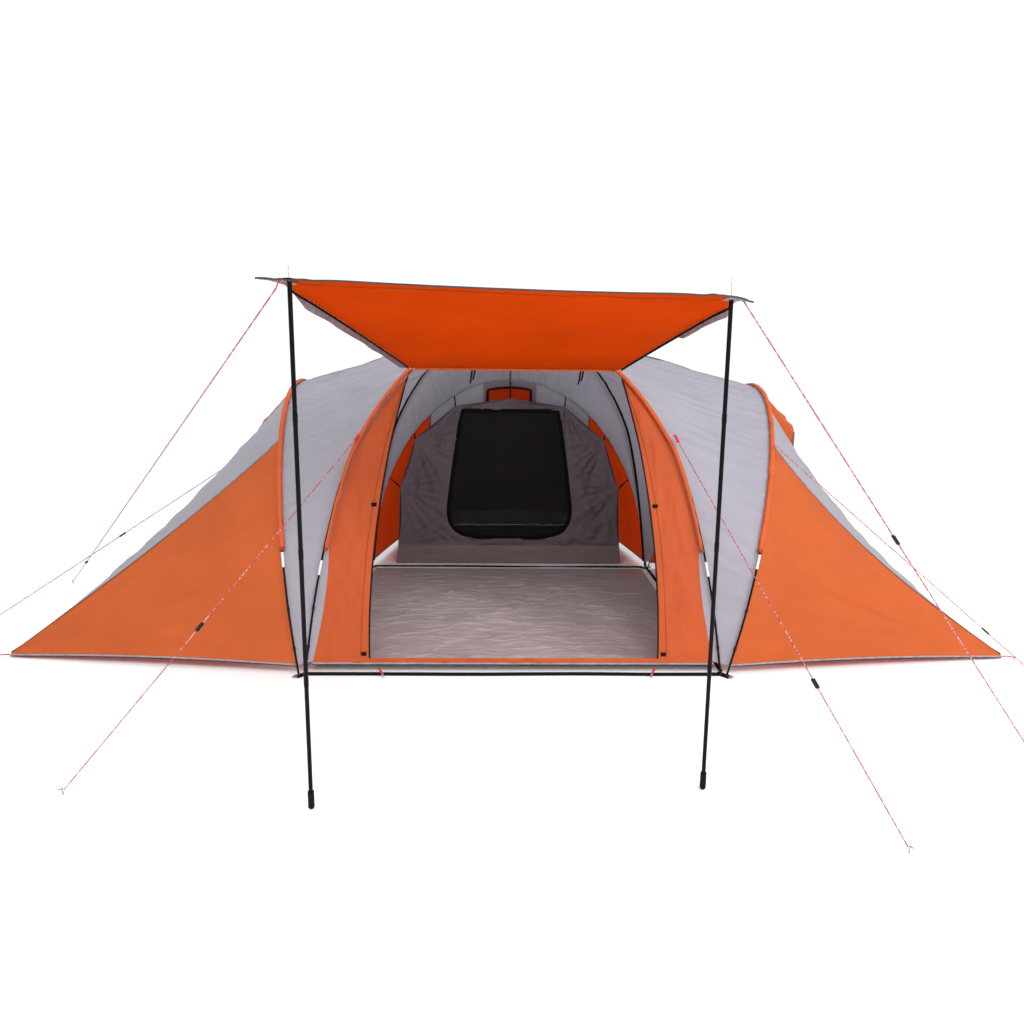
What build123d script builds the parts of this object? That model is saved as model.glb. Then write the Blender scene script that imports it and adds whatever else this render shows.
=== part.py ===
"""Family dome tent with a square centre dome and three sleeping pods.

Two crossing poles carry the dome, and three leaning hoops carry the left, right and rear pods.
The open front has a doorway whose flap is raised on two steel poles as an awning.
Millimetres, +Z up. The origin is the centre of the groundsheet's underside, on the ground.
The doorway faces -Y and the pods point to -X, +X and +Y.
"""
from build123d import *
from math import asin, atan2, cos, degrees, pi, radians, sin, tan
import os

os.makedirs("parts", exist_ok=True)

# ---------------------------------------------------------------- driving dimensions
DOME_HALF = 1128            # centre to the foot of a crossing pole, along X and along Y
DOME_HEIGHT = 1925          # axis of the upper crossing pole above the ground
POLE_WAIST = 35             # how far the lower part of a crossing pole is drawn inwards
HOOP_BASE = 1160            # centre to the ground line of a hoop
HOOP_HALF = 1145            # half width of a hoop at the ground
HOOP_HEIGHT = 1545
LEAN = {"left": 205, "right": 400, "rear": 335}    # how far each hoop's top leans outwards, as pitched
SIDES = ("left", "right", "rear")
POLE_R = 5.5                # glass-fibre pole
SLEEVE_R = 12               # fabric pole sleeve
SLEEVE_FOOT = 665           # height at which a sleeve ends and the pole comes out
CLOTH = 3                   # thickness of a fabric panel's solid
DROP = 15                   # fabric hangs this far inside the pole's axis
HEM = 55                    # height of the panels' lower edge at the feet of the poles
POD_HEM = 16                # height of the panels' lower edge at the pods' far corners
SEAM_ANGLE = 54             # angle along a hoop of the seam between a pod's side and its end

HOOD_REACH = 215            # how far a vent hood reaches out from its hoop's top
HOOD_LIFT = {"left": 42, "right": 70, "rear": 70}    # height of a hood's free end above the roof
POD_REACH = 2840            # centre to a pod's ground corners
POD_CORNER = 890            # half width between a pod's ground corners
STRAP_LINE = 1140           # centre to the ground straps and corner plates

DOOR_EDGE = [(784, 85), (730, 930), (678, 1250), (602, 1620)]    # half width of the doorway at each height
DOOR_SILL = DOOR_EDGE[0][1]
DOOR_TOP = DOOR_EDGE[-1][1]

CABIN_FACE = 1262           # centre to a cabin's front wall
CABIN_END = 2560            # centre to a cabin's low end
TUB = 160                   # height of a cabin's waterproof tray
WALL_SHAPE = [(945, 0), (930, 160), (905, 650), (775, 1050), (445, 1320), (0, 1385)]
END_SHAPE = [(760, 0), (752, 60), (735, 150), (700, 195), (400, 212), (0, 220)]
MESH_DOOR = [(396, 1285), (470, 780), (508, 480), (500, 400), (450, 285), (330, 235), (0, 225)]

HINGE = (0, -630, 1632)     # middle of the awning's hinge line along the top of the doorway
AWNING_RISE = 9.15          # degrees by which the raised awning climbs away from the tent
AWNING_ROOT = 592           # half width of the awning at its hinge
AWNING_TIPS = {"left": (-887, 1858), "right": (800, 1700)}    # across, and out along the slope
AWNING_SHOULDERS = {"left": (-816, 1790), "right": (764, 1640)}    # where the side edges turn out to the tips
PROP_R = 8                  # steel awning pole
PROP_FOOT = {"left": (-790, -2420), "right": (730, -2290)}
PROP_HEAD = {"left": (-785, -2430), "right": (733, -2268)}
PROP_TIP_HEIGHT = 1985
SPIKE_R = 3.5
GROMMET_R = 6.5

CORD_R = 2.5
CORD_LIFT = 14              # height of a guy's lower end, where it meets its peg
GUYS = {                    # upper end, peg
    "awning_left": ((-824, -2452, 1894), (-3291, 608)),
    "awning_right": ((772, -2288, 1885), (2197, -2149)),
    "front_left": ((-862, -868, 1256), (-1773, -2317)),
    "front_right": ((884, -884, 1258), (1347, -2704)),
    "side_left": ((-1380, 560, 1352), (-3310, -412)),
    "side_right": ((1512, -742, 1190), (2842, -1221)),
}
SLIDER_AT = {               # fraction of the guy from its upper end to its slider
    "awning_left": 0.86, "awning_right": 0.47, "front_left": 0.62, "front_right": 0.70,
    "side_left": 0.62, "side_right": 0.80,
}


# ---------------------------------------------------------------- curves and placing
def place(side, out, along, up):
    """A point given outwards from the centre and along the pod's ground line."""
    if side == "left":
        return Vector(-out, along, up)
    if side == "right":
        return Vector(out, along, up)
    return Vector(along, out, up)


def hoop_point(side, angle, inset=0, swell=0):
    """A point of a hoop, with the angle measured from its foot on the +along side."""
    wide = (HOOP_HALF - inset) * (1 + swell)
    up = (HOOP_HEIGHT - inset) * (1 + swell) * sin(radians(angle))
    return place(side, HOOP_BASE + LEAN[side] * up / HOOP_HEIGHT, wide * cos(radians(angle)), up)


def dome_profile(angle, inset=0, swell=0, height=DOME_HEIGHT):
    """Distance along X (and Y) and height of a crossing pole, from its foot (0) to the crown (90)."""
    up = (height - inset) * (1 + swell) * sin(radians(angle))
    waist = POLE_WAIST * sin(pi * up / 1200) if 0 < up < 1200 else 0
    return (DOME_HALF - inset) * (1 + swell) * cos(radians(angle)) - waist, up


def dome_point(sx, sy, angle, inset=0, swell=0, height=DOME_HEIGHT):
    half, up = dome_profile(angle, inset, swell, height)
    return Vector(sx * half, sy * half, up)


def steps(first, last, count):
    return [first + (last - first) * i / count for i in range(count + 1)]


def strip(outer, inner, smooth=True):
    """A flat, thin face between two rows of points."""
    if smooth:
        edges = [Spline(*outer), Line(outer[-1], inner[-1]), Spline(*reversed(inner)), Line(inner[0], outer[0])]
        return Face(Wire([e.edge() for e in edges]))
    return Face(Polyline(*outer, *reversed(inner), close=True).wire())


def arc_path(points):
    """Straight runs joined by the largest tangent arcs that fit."""
    radii = []
    for before, here, after in zip(points, points[1:], points[2:]):
        turn = (here - before).get_angle(after - here)
        run = min((here - before).length, (after - here).length)
        radii.append(0.45 * run / tan(radians(turn / 2)))
    return FilletPolyline(*points, radius=radii).wire()


def swept(path, radius, bore=0):
    section = Circle(radius) - Circle(bore) if bore else Circle(radius)
    return sweep(Plane(origin=path @ 0, z_dir=path % 0) * section, path=path)


def rod(start, end, radius, bore=0):
    start, end = Vector(*start), Vector(*end)
    ring = Circle(radius) - Circle(bore) if bore else Circle(radius)
    return extrude(Plane(origin=start, z_dir=end - start) * ring, amount=(end - start).length)


def block(low, high):
    size = [h - l for l, h in zip(low, high)]
    middle = [(h + l) / 2 for l, h in zip(low, high)]
    return Pos(*middle) * Box(*size)


def save(name, *shapes):
    """Write one node; several separate solids go out as one compound."""
    solids = [solid for shape in shapes for solid in shape.solids()]
    node = solids[0] if len(solids) == 1 else Compound(label=name, children=solids)
    export_step(node, f"parts/{name}.step")


# ---------------------------------------------------------------- poles, sleeves and feet
def hoop_path(side):
    """The axis of a hoop, from its foot on the +along side over to the other foot."""
    count = 14
    swell = 1 - cos(pi / count / 2)
    points = [hoop_point(side, a, swell=swell) for a in steps(0, 180, count)]
    points[0] = hoop_point(side, 0) + Vector(0, 0, 10)
    points[-1] = hoop_point(side, 180) + Vector(0, 0, 10)
    return arc_path(points)


def dome_path(side_x, height):
    """The axis of a crossing pole, from the foot at (side_x, -Y) to the foot opposite it."""
    count = 8
    swell = 1 - cos(pi / count / 4)
    front = [dome_point(side_x, -1, a, swell=swell, height=height) for a in steps(0, 90, count)]
    front[0] = dome_point(side_x, -1, 0) + Vector(0, 0, 10)
    rear = [Vector(-p.X, -p.Y, p.Z) for p in reversed(front[:-1])]
    return arc_path(front + rear)


def at_height(path, height, rising=True):
    """Where a path passes a height on its first (rising) or last half: point and direction."""
    low, high = (0.0, 0.5) if rising else (1.0, 0.5)
    for _ in range(40):
        middle = (low + high) / 2
        if (path @ middle).Z < height:
            low = middle
        else:
            high = middle
    return path @ low, path % low


def ferrule(path, height, rising):
    """A straight metal sleeve where two lengths of a pole plug together."""
    middle, along = at_height(path, height, rising)
    return rod(middle - along * 40, middle + along * 40, 7.5, POLE_R + 0.6)


def clip(path, height, rising):
    """A plastic hook that holds the fabric to the bare lower part of a pole."""
    middle, along = at_height(path, height, rising)
    return rod(middle - along * 9, middle + along * 9, 7.8, POLE_R + 0.4)


ABOVE_SLEEVE_FOOT = block((-2600, -2600, SLEEVE_FOOT), (2600, 2600, 2600))
CROWN_GAP = block((-130, -130, 1700), (130, 130, 2100))    # the crossing sleeves stop short of the crown
POLE_STEP = 13              # the second crossing pole passes this far under the first

pole_paths = {
    "pole_dome_a": dome_path(-1, DOME_HEIGHT),
    "pole_dome_b": dome_path(1, DOME_HEIGHT - POLE_STEP),
}
for side in SIDES:
    pole_paths[f"pole_hoop_{side}"] = hoop_path(side)

sleeves, ferrules, clips, feet = [], [], [], []
for name, path in pole_paths.items():
    save(name, swept(path, POLE_R))
    sleeve = swept(path, SLEEVE_R, POLE_R + 1) & ABOVE_SLEEVE_FOOT
    sleeves.append(sleeve - CROWN_GAP if "dome" in name else sleeve)
    for rising in (True, False):
        ferrules.append(ferrule(path, 575 if "dome" in name else 618, rising))
        clips += [clip(path, height, rising) for height in (150, 360)]
        foot = path @ (0 if rising else 1)
        feet.append(rod((foot.X, foot.Y, 3), (foot.X, foot.Y, 7.5), 7))

# the feet stand on webbing plates joined by ground straps, with a ring at each corner
webbing = []
strap_reach = STRAP_LINE - 40
for s in (-1, 1):
    webbing.append(Pos(0, s * STRAP_LINE, 8) * Box(2 * strap_reach, 3, 16))
    webbing.append(Pos(s * STRAP_LINE, 0, 8) * Box(3, 2 * strap_reach, 16))
    for t in (-1, 1):
        webbing.append(Pos(s * STRAP_LINE, t * STRAP_LINE, 1.5) * Box(80, 80, 3))
        feet.append(Pos(s * 1172, t * 1172, 5.5) * Torus(12, 2.5))
save("pole_sleeves", *sleeves)
save("pole_ferrules", *ferrules)
save("pole_clips", *clips)
save("pole_feet", *feet)
save("ground_webbing", *webbing)

# ---------------------------------------------------------------- flysheet over the dome
FIRST = degrees(HEM / HOOP_HEIGHT)      # angle at which a panel starts above its pole's foot


def hoop_strip(side, first, last, count=8):
    angles = steps(first, last, count)
    outer = [hoop_point(side, a, DROP) for a in angles]
    inner = [hoop_point(side, a, DROP + CLOTH) for a in angles]
    return strip(outer, inner)


def dome_strip(sx, sy):
    angles = steps(FIRST, 90, 8)
    outer = [dome_point(sx, sy, a, DROP, height=DOME_HEIGHT - POLE_STEP) for a in angles]
    inner = [dome_point(sx, sy, a, DROP + CLOTH, height=DOME_HEIGHT - POLE_STEP) for a in angles]
    return strip(outer, inner)


def gore(side):
    """The roof from a hoop up to the two half poles beside it, as two ruled panels."""
    corners = {"left": ((-1, 1), (-1, -1)), "right": ((1, 1), (1, -1)), "rear": ((1, 1), (-1, 1))}[side]
    plus = loft([hoop_strip(side, FIRST, 90), dome_strip(*corners[0])], ruled=True)
    minus = loft([hoop_strip(side, 180 - FIRST, 90), dome_strip(*corners[1])], ruled=True)
    return plus + minus


for side in SIDES:
    save(f"gore_{side}", gore(side))


def front_shell(inset, thick):
    """The front face: the crossing poles' profile carried straight across between them."""
    angles = steps(FIRST, 90, 8)
    top = DOME_HEIGHT - POLE_STEP
    outer = [dome_profile(a, inset, height=top) for a in angles]
    inner = [dome_profile(a, inset + thick, height=top) for a in angles]
    face = strip([Vector(0, -y, z) for y, z in outer], [Vector(0, -y, z) for y, z in inner])
    shell = extrude(face, amount=DOME_HALF, both=True)
    wedge = Polyline((0, 0), (-1400, -1400), (1400, -1400), close=True)
    return shell & extrude(make_face(wedge), amount=2500)


def door_prism(widen, first=DOOR_SILL, last=DOOR_TOP):
    """The doorway's outline, widened each way, as a solid through the front face."""
    edge = [(half + widen, up) for half, up in DOOR_EDGE]
    edge[0] = (edge[0][0], first)
    edge[-1] = (edge[-1][0], last)
    outline = [(half, up) for half, up in edge] + [(-half, up) for half, up in reversed(edge)]
    face = make_face(Plane.XZ * Polyline(*outline, close=True))
    return extrude(face, amount=1400)


front = front_shell(DROP, CLOTH)
below_top = block((-1400, -1400, DOOR_SILL), (1400, 100, DOOR_TOP))
cheeks = front & below_top
cheeks -= door_prism(0)
save("front_cheeks", cheeks)
save("front_top", front & block((-1400, -1400, DOOR_TOP), (1400, 100, 2100)))
save("door_sill", front & block((-1400, -1400, 0), (1400, 100, DOOR_SILL)))
below_poles = block((-1400, -1400, DOOR_SILL), (1400, 100, DOOR_TOP - 130))
zips = front_shell(DROP - 5, 4.5) & (door_prism(14) - door_prism(0)) & below_poles
save("door_zips", zips)

door_tabs = []
for height, half in ((905, 748), (110, 799)):
    depth = dome_profile(degrees(asin(height / DOME_HEIGHT)), DROP)[0]
    for sx in (-1, 1):
        door_tabs.append(Pos(sx * (half + 14), -depth - 6, height) * Box(24, 6, 20))
save("door_tabs", *door_tabs)


# ---------------------------------------------------------------- pods
def corner_strip(side, sign):
    """The small rounded end of a pod's side panel at its ground corner."""
    radius = 12
    angles = steps(0, 90, 8)

    def row(shrink):
        return [place(side, POD_REACH,
                      sign * (POD_CORNER - shrink - (radius - shrink) * (1 - cos(radians(a)))),
                      POD_HEM + (radius - shrink) * sin(radians(a))) for a in angles]
    return strip(row(0), row(CLOTH))


def pod_side(side, sign):
    first, last = (FIRST, SEAM_ANGLE) if sign > 0 else (180 - FIRST, 180 - SEAM_ANGLE)
    return loft([hoop_strip(side, first, last), corner_strip(side, sign)], ruled=True)


def vent_cutter(side):
    """The vent window just below the top of a pod's end panel."""
    top = HOOP_BASE + LEAN[side]
    a = place(side, top + 40, -170, 1000)
    b = place(side, top + 230, 170, 1700)
    low = [min(a.X, b.X), min(a.Y, b.Y), 1000]
    high = [max(a.X, b.X), max(a.Y, b.Y), 1700]
    return block(low, high)


def pod_end(side):
    """The pod's roof and end, ruled from the top of the hoop to the ground edge."""
    reach = POD_CORNER - 12
    top, under = POD_HEM + 12, POD_HEM + 12 - CLOTH
    corners = ((reach, top), (-reach, top), (-reach, under), (reach, under))
    ground = Face(Polyline(*[place(side, POD_REACH, a, up) for a, up in corners], close=True).wire())
    return loft([hoop_strip(side, SEAM_ANGLE, 180 - SEAM_ANGLE), ground], ruled=True)


def vent_hood(side):
    """A stiff hood over the vent, lifted clear of the roof and open at its lower end."""
    top = HOOP_BASE + LEAN[side]
    fall = (HOOP_HEIGHT - DROP - POD_HEM) / (POD_REACH - top)
    roof_height = HOOP_HEIGHT - DROP - fall * HOOD_REACH
    root = (top + 20, HOOP_HEIGHT - 11)
    tip = (top + HOOD_REACH, roof_height + HOOD_LIFT[side])
    heel = (top + HOOD_REACH - 8, roof_height + 20)
    plates = []
    for along, depth in ((-190, 3), (187, 3)):
        corners = [place(side, o, along, z) for o, z in (root, tip, heel)]
        across = place(side, 0, depth, 0)
        plates.append(extrude(Face(Polyline(*corners, close=True).wire()), dir=across, amount=depth))
    roof = [place(side, o, -190, z) for o, z in (root, tip, (tip[0], tip[1] + 3), (root[0], root[1] + 3))]
    plates.append(extrude(Face(Polyline(*roof, close=True).wire()), dir=place(side, 0, 1, 0), amount=380))
    return plates[0] + plates[1] + plates[2]


vent_meshes, hoods, hems = [], [], []
for side in SIDES:
    save(f"pod_sides_{side}", pod_side(side, 1), pod_side(side, -1))
    end = pod_end(side)
    window = vent_cutter(side)
    save(f"pod_end_{side}", end - window)
    vent_meshes.append(end & window)
    hoods.append(vent_hood(side))
    corners = [place(side, POD_REACH, s * POD_CORNER, POD_HEM - 7) for s in (-1, 1)]
    roots = [place(side, HOOP_BASE + 30, s * (HOOP_HALF - DROP + 2), HEM - 7) for s in (-1, 1)]
    for start, end_point in ((roots[0], corners[0]), (corners[0], corners[1]), (corners[1], roots[1])):
        gap = (end_point - start).normalized() * 8
        hems.append(rod(start + gap, end_point - gap, 4.5))
hems.append(rod((-1085, -1105, HEM - 6), (1085, -1105, HEM - 6), 4.5))
save("vent_meshes", *vent_meshes)
save("vent_hoods", *hoods)
save("hem_bindings", *hems)


# ---------------------------------------------------------------- sleeping cabins
def outline(side, out, shape, shrink=0):
    """A closed cabin cross-section at a distance from the centre."""
    def inset(half, up):
        return half * (1 - shrink / 760), max(up * (1 - shrink / 900), 0) if up else shrink
    pairs = [inset(half, up) for half, up in shape]
    points = [(half, up) for half, up in pairs] + [(-half, up) for half, up in reversed(pairs[:-1])]
    return Face(Polyline(*[place(side, out, half, up) for half, up in points], close=True).wire())


def cabin_shell(side):
    outside = loft([outline(side, CABIN_FACE, WALL_SHAPE), outline(side, CABIN_END, END_SHAPE)], ruled=True)
    inside = loft([outline(side, CABIN_FACE - 1, WALL_SHAPE, CLOTH),
                   outline(side, CABIN_END - CLOTH, END_SHAPE, CLOTH)], ruled=True)
    return outside - inside


def slab(side, first, last, low, high):
    """A block across a pod between two distances from the centre and two heights."""
    a, b = place(side, first, -1000, low), place(side, last, 1000, high)
    return block([min(a.X, b.X), min(a.Y, b.Y), low], [max(a.X, b.X), max(a.Y, b.Y), high])


def flat_door(side, grow):
    """The mesh door's outline, 3 mm thick, in the cabin's front wall."""
    pairs = [(half + grow, up) for half, up in MESH_DOOR]
    pairs[0] = (pairs[0][0], pairs[0][1] + grow)
    pairs[-1] = (0, pairs[-1][1] - grow)
    pairs[-2] = (pairs[-2][0], pairs[-2][1] - grow)
    points = pairs + [(-half, up) for half, up in reversed(pairs[:-1])]
    face = Face(Polyline(*[place(side, CABIN_FACE - 4, half, up) for half, up in points], close=True).wire())
    return extrude(face, dir=place(side, 1, 0, 0), amount=CLOTH)


def cabin_wall(side):
    pairs = [(half - 2, up) for half, up in WALL_SHAPE[1:-1]] + [WALL_SHAPE[-1]]
    points = pairs + [(-half, up) for half, up in reversed(pairs[:-1])]
    face = Face(Polyline(*[place(side, CABIN_FACE - 4, half, up) for half, up in points], close=True).wire())
    return extrude(face, dir=place(side, 1, 0, 0), amount=CLOTH) - flat_door(side, 2)


def tub_front(side):
    """The front lip of the cabin's tray, under the wall."""
    lip = extrude(outline(side, CABIN_FACE - 4, WALL_SHAPE), dir=place(side, 1, 0, 0), amount=4)
    return lip & slab(side, CABIN_FACE - 10, CABIN_FACE + 10, 0, TUB - 0.5)


def toggles(side):
    """Elastic ties from the wall's corners to the hoop, each with a barrel toggle."""
    ties = []
    pairs = WALL_SHAPE[2:]
    for half, up in pairs:
        for sign in ((1, -1) if half else (1,)):
            angle = degrees(atan2(up / HOOP_HEIGHT, half / HOOP_HALF))
            angle = angle if sign > 0 else 180 - angle
            hook = hoop_point(side, angle, DROP + CLOTH + 6)
            start = place(side, CABIN_FACE - 8, sign * half, up)
            middle = start + (hook - start) * 0.35
            barrel = middle + (hook - start).normalized() * 26
            ties.append(rod(start, hook, 2) + rod(middle, barrel, 5))
    return ties


trays, canopies = [], []
for side in SIDES:
    shell = cabin_shell(side)
    tray_zone = slab(side, CABIN_FACE - 10, CABIN_END + 10, -1, TUB)
    trays.append((shell & tray_zone) + tub_front(side))
    canopies.append(shell - tray_zone)
    save(f"cabin_wall_{side}", cabin_wall(side))
    save(f"mesh_door_{side}", flat_door(side, 0))
save("cabin_trays", *trays)
save("cabin_canopies", *canopies)
save("cabin_toggles", *[tie for side in SIDES for tie in toggles(side)])

groundsheet_half = STRAP_LINE - 44
save("groundsheet", Pos(0, 0, 1.5) * Box(2 * groundsheet_half, 2 * groundsheet_half, 3))

# ---------------------------------------------------------------- awning and its poles
slope = Vector(0, -cos(radians(AWNING_RISE)), sin(radians(AWNING_RISE)))
awning_plane = Plane(origin=HINGE, x_dir=(1, 0, 0), z_dir=Vector(1, 0, 0).cross(slope))


def on_awning(x, y):
    """Slope coordinates and height of the awning's underside over a point of the ground."""
    out = (HINGE[1] - y) / cos(radians(AWNING_RISE))
    return out, HINGE[2] + out * sin(radians(AWNING_RISE))


flap_outline = [(-AWNING_ROOT, 4), AWNING_SHOULDERS["left"], AWNING_TIPS["left"],
                AWNING_TIPS["right"], AWNING_SHOULDERS["right"], (AWNING_ROOT, 4)]
flap = extrude(awning_plane * make_face(Polyline(*flap_outline, close=True)), amount=-CLOTH)
grommets = []
for side in ("left", "right"):
    head = PROP_HEAD[side]
    out, _ = on_awning(*head)
    hole = awning_plane * Pos(head[0], out, 0) * Cylinder(14, 40)
    flap -= hole
    ring = Pos(head[0], out, -CLOTH / 2) * (Cylinder(14, 5) - Cylinder(GROMMET_R, 6))
    grommets.append(awning_plane * ring)
save("awning_flap", flap)
save("awning_grommets", *grommets)


def web(start, end, thick, deep):
    """A strip standing down from the awning's underside between two of its points."""
    start, end = Vector(*start, 0), Vector(*end, 0)
    along = (end - start).normalized()
    across = Vector(-along.Y, along.X, 0) * thick / 2
    corners = [start + across, end + across, end - across, start - across]
    return extrude(awning_plane * make_face(Polyline(*corners, close=True)), amount=deep)


left_tip, right_tip = Vector(*AWNING_TIPS["left"]), Vector(*AWNING_TIPS["right"])
outer_edge = right_tip - left_tip
inward = Vector(-outer_edge.Y, outer_edge.X, 0).normalized() * -12
hem_start = left_tip + outer_edge * 0.10 + inward
hem_end = right_tip - outer_edge * 0.09 + inward
bindings = [
    web((hem_start.X, hem_start.Y), (hem_end.X, hem_end.Y), 4, 8),
    web((-AWNING_ROOT + 4, 10), (-784, 1640), 3, 26),
    web((AWNING_ROOT - 4, 10), (736, 1500), 3, 26),
]
save("awning_bindings", *bindings)

for side in ("left", "right"):
    foot = Vector(*PROP_FOOT[side], PROP_R + 5)
    head = Vector(*PROP_HEAD[side], PROP_TIP_HEIGHT)
    _, cloth_height = on_awning(*PROP_HEAD[side])
    reach = (cloth_height - 4 - foot.Z) / (head.Z - foot.Z)
    shoulder = foot + (head - foot) * reach
    along = (head - foot).normalized()
    tube = rod(foot + along * 20, shoulder, PROP_R)
    for up in (480, 960, 1440):
        tube += rod(foot + along * up, foot + along * (up + 36), PROP_R + 1)
    save(f"prop_{side}_tube", tube)
    save(f"prop_{side}_foot", rod(foot, foot + along * 60, PROP_R + 4) - rod(foot + along * 20, head, PROP_R)
         + Pos(*foot) * Sphere(PROP_R + 4))
    spike = rod(shoulder, head - along * 12, SPIKE_R)
    cone = Plane(origin=head - along * 12, z_dir=along) * Pos(0, 0, 6) * Cone(SPIKE_R, 0.8, 12)
    save(f"prop_{side}_spike", spike + cone)


# ---------------------------------------------------------------- guys, sliders and pegs
def peg(x, y, lean_x, lean_y):
    """The part of a steel peg above the ground: a short shank and a hook turned over."""
    shank = rod((x, y, 0), (x, y, 26), 3)
    lean = Vector(lean_x, lean_y, 0)
    lean = lean.normalized()
    hook = rod((x, y, 26), Vector(x, y, 26) + lean * 16 + Vector(0, 0, 2), 3)
    return shank + hook + Pos(x, y, 26) * Sphere(3)


pegs, loops = [], []
for name, (top, ground) in GUYS.items():
    top = Vector(*top)
    peg_at = Vector(*ground, CORD_LIFT)
    toward = (top - peg_at).normalized()
    bottom = peg_at + toward * 9
    save(f"guy_{name}", rod(bottom, top, CORD_R))
    flat = Vector(toward.X, toward.Y, 0).normalized()
    pegs.append(peg(ground[0], ground[1], -flat.X, -flat.Y))
    middle = top + (bottom - top) * SLIDER_AT[name]
    plane = Plane(origin=middle, x_dir=toward.cross(Vector(0, 0, 1)), z_dir=toward)
    body = plane * Box(16, 9, 44) - rod(bottom, top, CORD_R + 0.6)
    save(f"slider_{name}", body)

# red loops and pegs at the pods' corners, beside the doorway and at the dome's feet
for side in SIDES:
    for sign in (-1, 1):
        corner = place(side, POD_REACH + 6, sign * POD_CORNER, 10)
        outward = place(side, 1, sign * 0.35, 0).normalized()
        end = corner + outward * 62
        loops.append(rod(corner + outward * 5, end - outward * 5, 3))
        pegs.append(peg(end.X, end.Y, outward.X, outward.Y))
for sx, x in ((-1, -735), (1, 770)):
    loops.append(rod((x, -1113, 44), (x - sx * 30, -1166, 22), 3))
    pegs.append(peg(x - sx * 30, -1173, 0, -1))
save("peg_loops", *loops)
save("pegs", *pegs)
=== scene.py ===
"""Looks of the family dome tent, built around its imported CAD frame. Metres, +Z up, doorway towards -Y."""
import math

import bpy
import numpy as np
from mathutils import Matrix, Vector


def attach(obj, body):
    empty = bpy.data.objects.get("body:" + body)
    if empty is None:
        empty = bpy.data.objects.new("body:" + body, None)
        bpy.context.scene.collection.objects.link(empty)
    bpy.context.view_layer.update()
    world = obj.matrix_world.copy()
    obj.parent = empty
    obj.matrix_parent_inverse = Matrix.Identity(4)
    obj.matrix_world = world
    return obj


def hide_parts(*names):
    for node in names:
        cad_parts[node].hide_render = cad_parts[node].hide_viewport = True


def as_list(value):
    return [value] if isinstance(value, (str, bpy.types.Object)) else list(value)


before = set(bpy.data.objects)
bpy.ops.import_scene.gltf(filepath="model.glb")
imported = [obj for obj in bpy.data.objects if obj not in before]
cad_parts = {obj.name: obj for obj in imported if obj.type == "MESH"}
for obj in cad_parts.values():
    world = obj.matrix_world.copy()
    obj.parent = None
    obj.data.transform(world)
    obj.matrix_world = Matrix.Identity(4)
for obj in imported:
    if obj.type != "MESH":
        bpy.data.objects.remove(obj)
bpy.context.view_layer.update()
PI = math.pi
UP = np.array([0, 0, 1.0])
CREASE = 0.35               # width of a crease, as a share of the relief that makes it

# ---- driving dimensions, as in the part's source
DOME_HALF = 1.128           # centre to the foot of a crossing pole, along X and along Y
DOME_HEIGHT = 1.912         # crown of the lower crossing pole
POLE_STACK = 0.013          # the other one lies this much higher
POLE_WAIST = 0.035
WAIST_TOP = 1.2
HOOP_BASE = 1.160
HOOP_HALF = 1.145
HOOP_HEIGHT = 1.545
LEAN = {"left": 0.205, "right": 0.400, "rear": 0.335}
SIDES = ("left", "right", "rear")
GORE_CORNERS = {"left": ((-1, 1), (-1, -1)), "right": ((1, 1), (1, -1)), "rear": ((1, 1), (-1, 1))}
CROSSING_POLES = ["pole_dome_a", "pole_dome_b"]
DROP = 0.015                # fabric lies this far inside a pole's axis
HEM = 0.055                 # height of the panels' lower edge at the poles' feet
HEM_ANGLE = math.degrees(HEM / HOOP_HEIGHT)
HEM_RISE = 0.018            # the hem bows up this much between its pegs
POD_HEM = 0.016             # height of the hem at the pods' far corners
SEAM_ANGLE = 54             # on a hoop, where a pod's side panel meets its end panel
SEAM_SHIFT = 0.034          # below its sleeve, a front seam runs this far beside its pole
SLEEVE_FOOT = 0.665
POD_REACH = 2.840
POD_CORNER = 0.890
POD_INSET = 0.012           # the end panel's corners lie inside and above the pegs by this
POD_SAG = {"left": 0.040, "right": 0.105, "rear": 0.060}
STRAP_LINE = 1.140
GROUNDSHEET_HALF = 1.094
FRONT_BEND = -0.975         # the groundsheet turns up from here to the door's sill
FRONT_RISE = 0.043
DOOR_EDGE = np.array([(0.784, 0.085), (0.730, 0.930), (0.678, 1.250), (0.602, 1.620)])
DOOR_SILL, DOOR_TOP = DOOR_EDGE[0, 1], DOOR_EDGE[-1, 1]
DOOR_TABS = ((0.905, 0.748), (0.110, 0.799))    # height, and distance from the middle

POD_MIDDLE = 1.9            # a point well inside each pod, from which its cloths face outwards
CABIN_FACE = 1.2595
CABIN_END = 2.555
WALL_SHAPE = np.array([(0.945, 0), (0.930, 0.160), (0.905, 0.650), (0.775, 1.050), (0.445, 1.320), (0, 1.385)])
END_SHAPE = np.array([(0.760, 0), (0.752, 0.060), (0.735, 0.150), (0.700, 0.195), (0.400, 0.212), (0, 0.220)])
MESH_DOOR = np.array([(0, 0.225), (0.240, 0.226), (0.330, 0.237), (0.400, 0.257), (0.455, 0.295), (0.490, 0.345),
                      (0.507, 0.410), (0.508, 0.480), (0.470, 0.780), (0.396, 1.285), (0, 1.285)])

VENT_ACROSS = (0.372, 0.628)    # the vent window, as shares of its panel
VENT_DOWN = (0.03, 0.155)
HOOD_REACH = 0.215
HOOD_LIFT = {"left": 0.002, "right": 0.125, "rear": 0.115}

HINGE = np.array([0, -0.630, 1.632])
AWNING_RISE = math.radians(9.15)
AWNING_ROOT = 0.592
AWNING_TIPS = {"left": (-0.887, 1.858), "right": (0.800, 1.700)}            # across, out along the slope
AWNING_SHOULDERS = {"left": (-0.816, 1.790), "right": (0.764, 1.640)}
PROP_HEAD = {"left": (-0.785, -2.430), "right": (0.733, -2.268)}
AWNING_SIDES = (("left", -1), ("right", 1))

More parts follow.
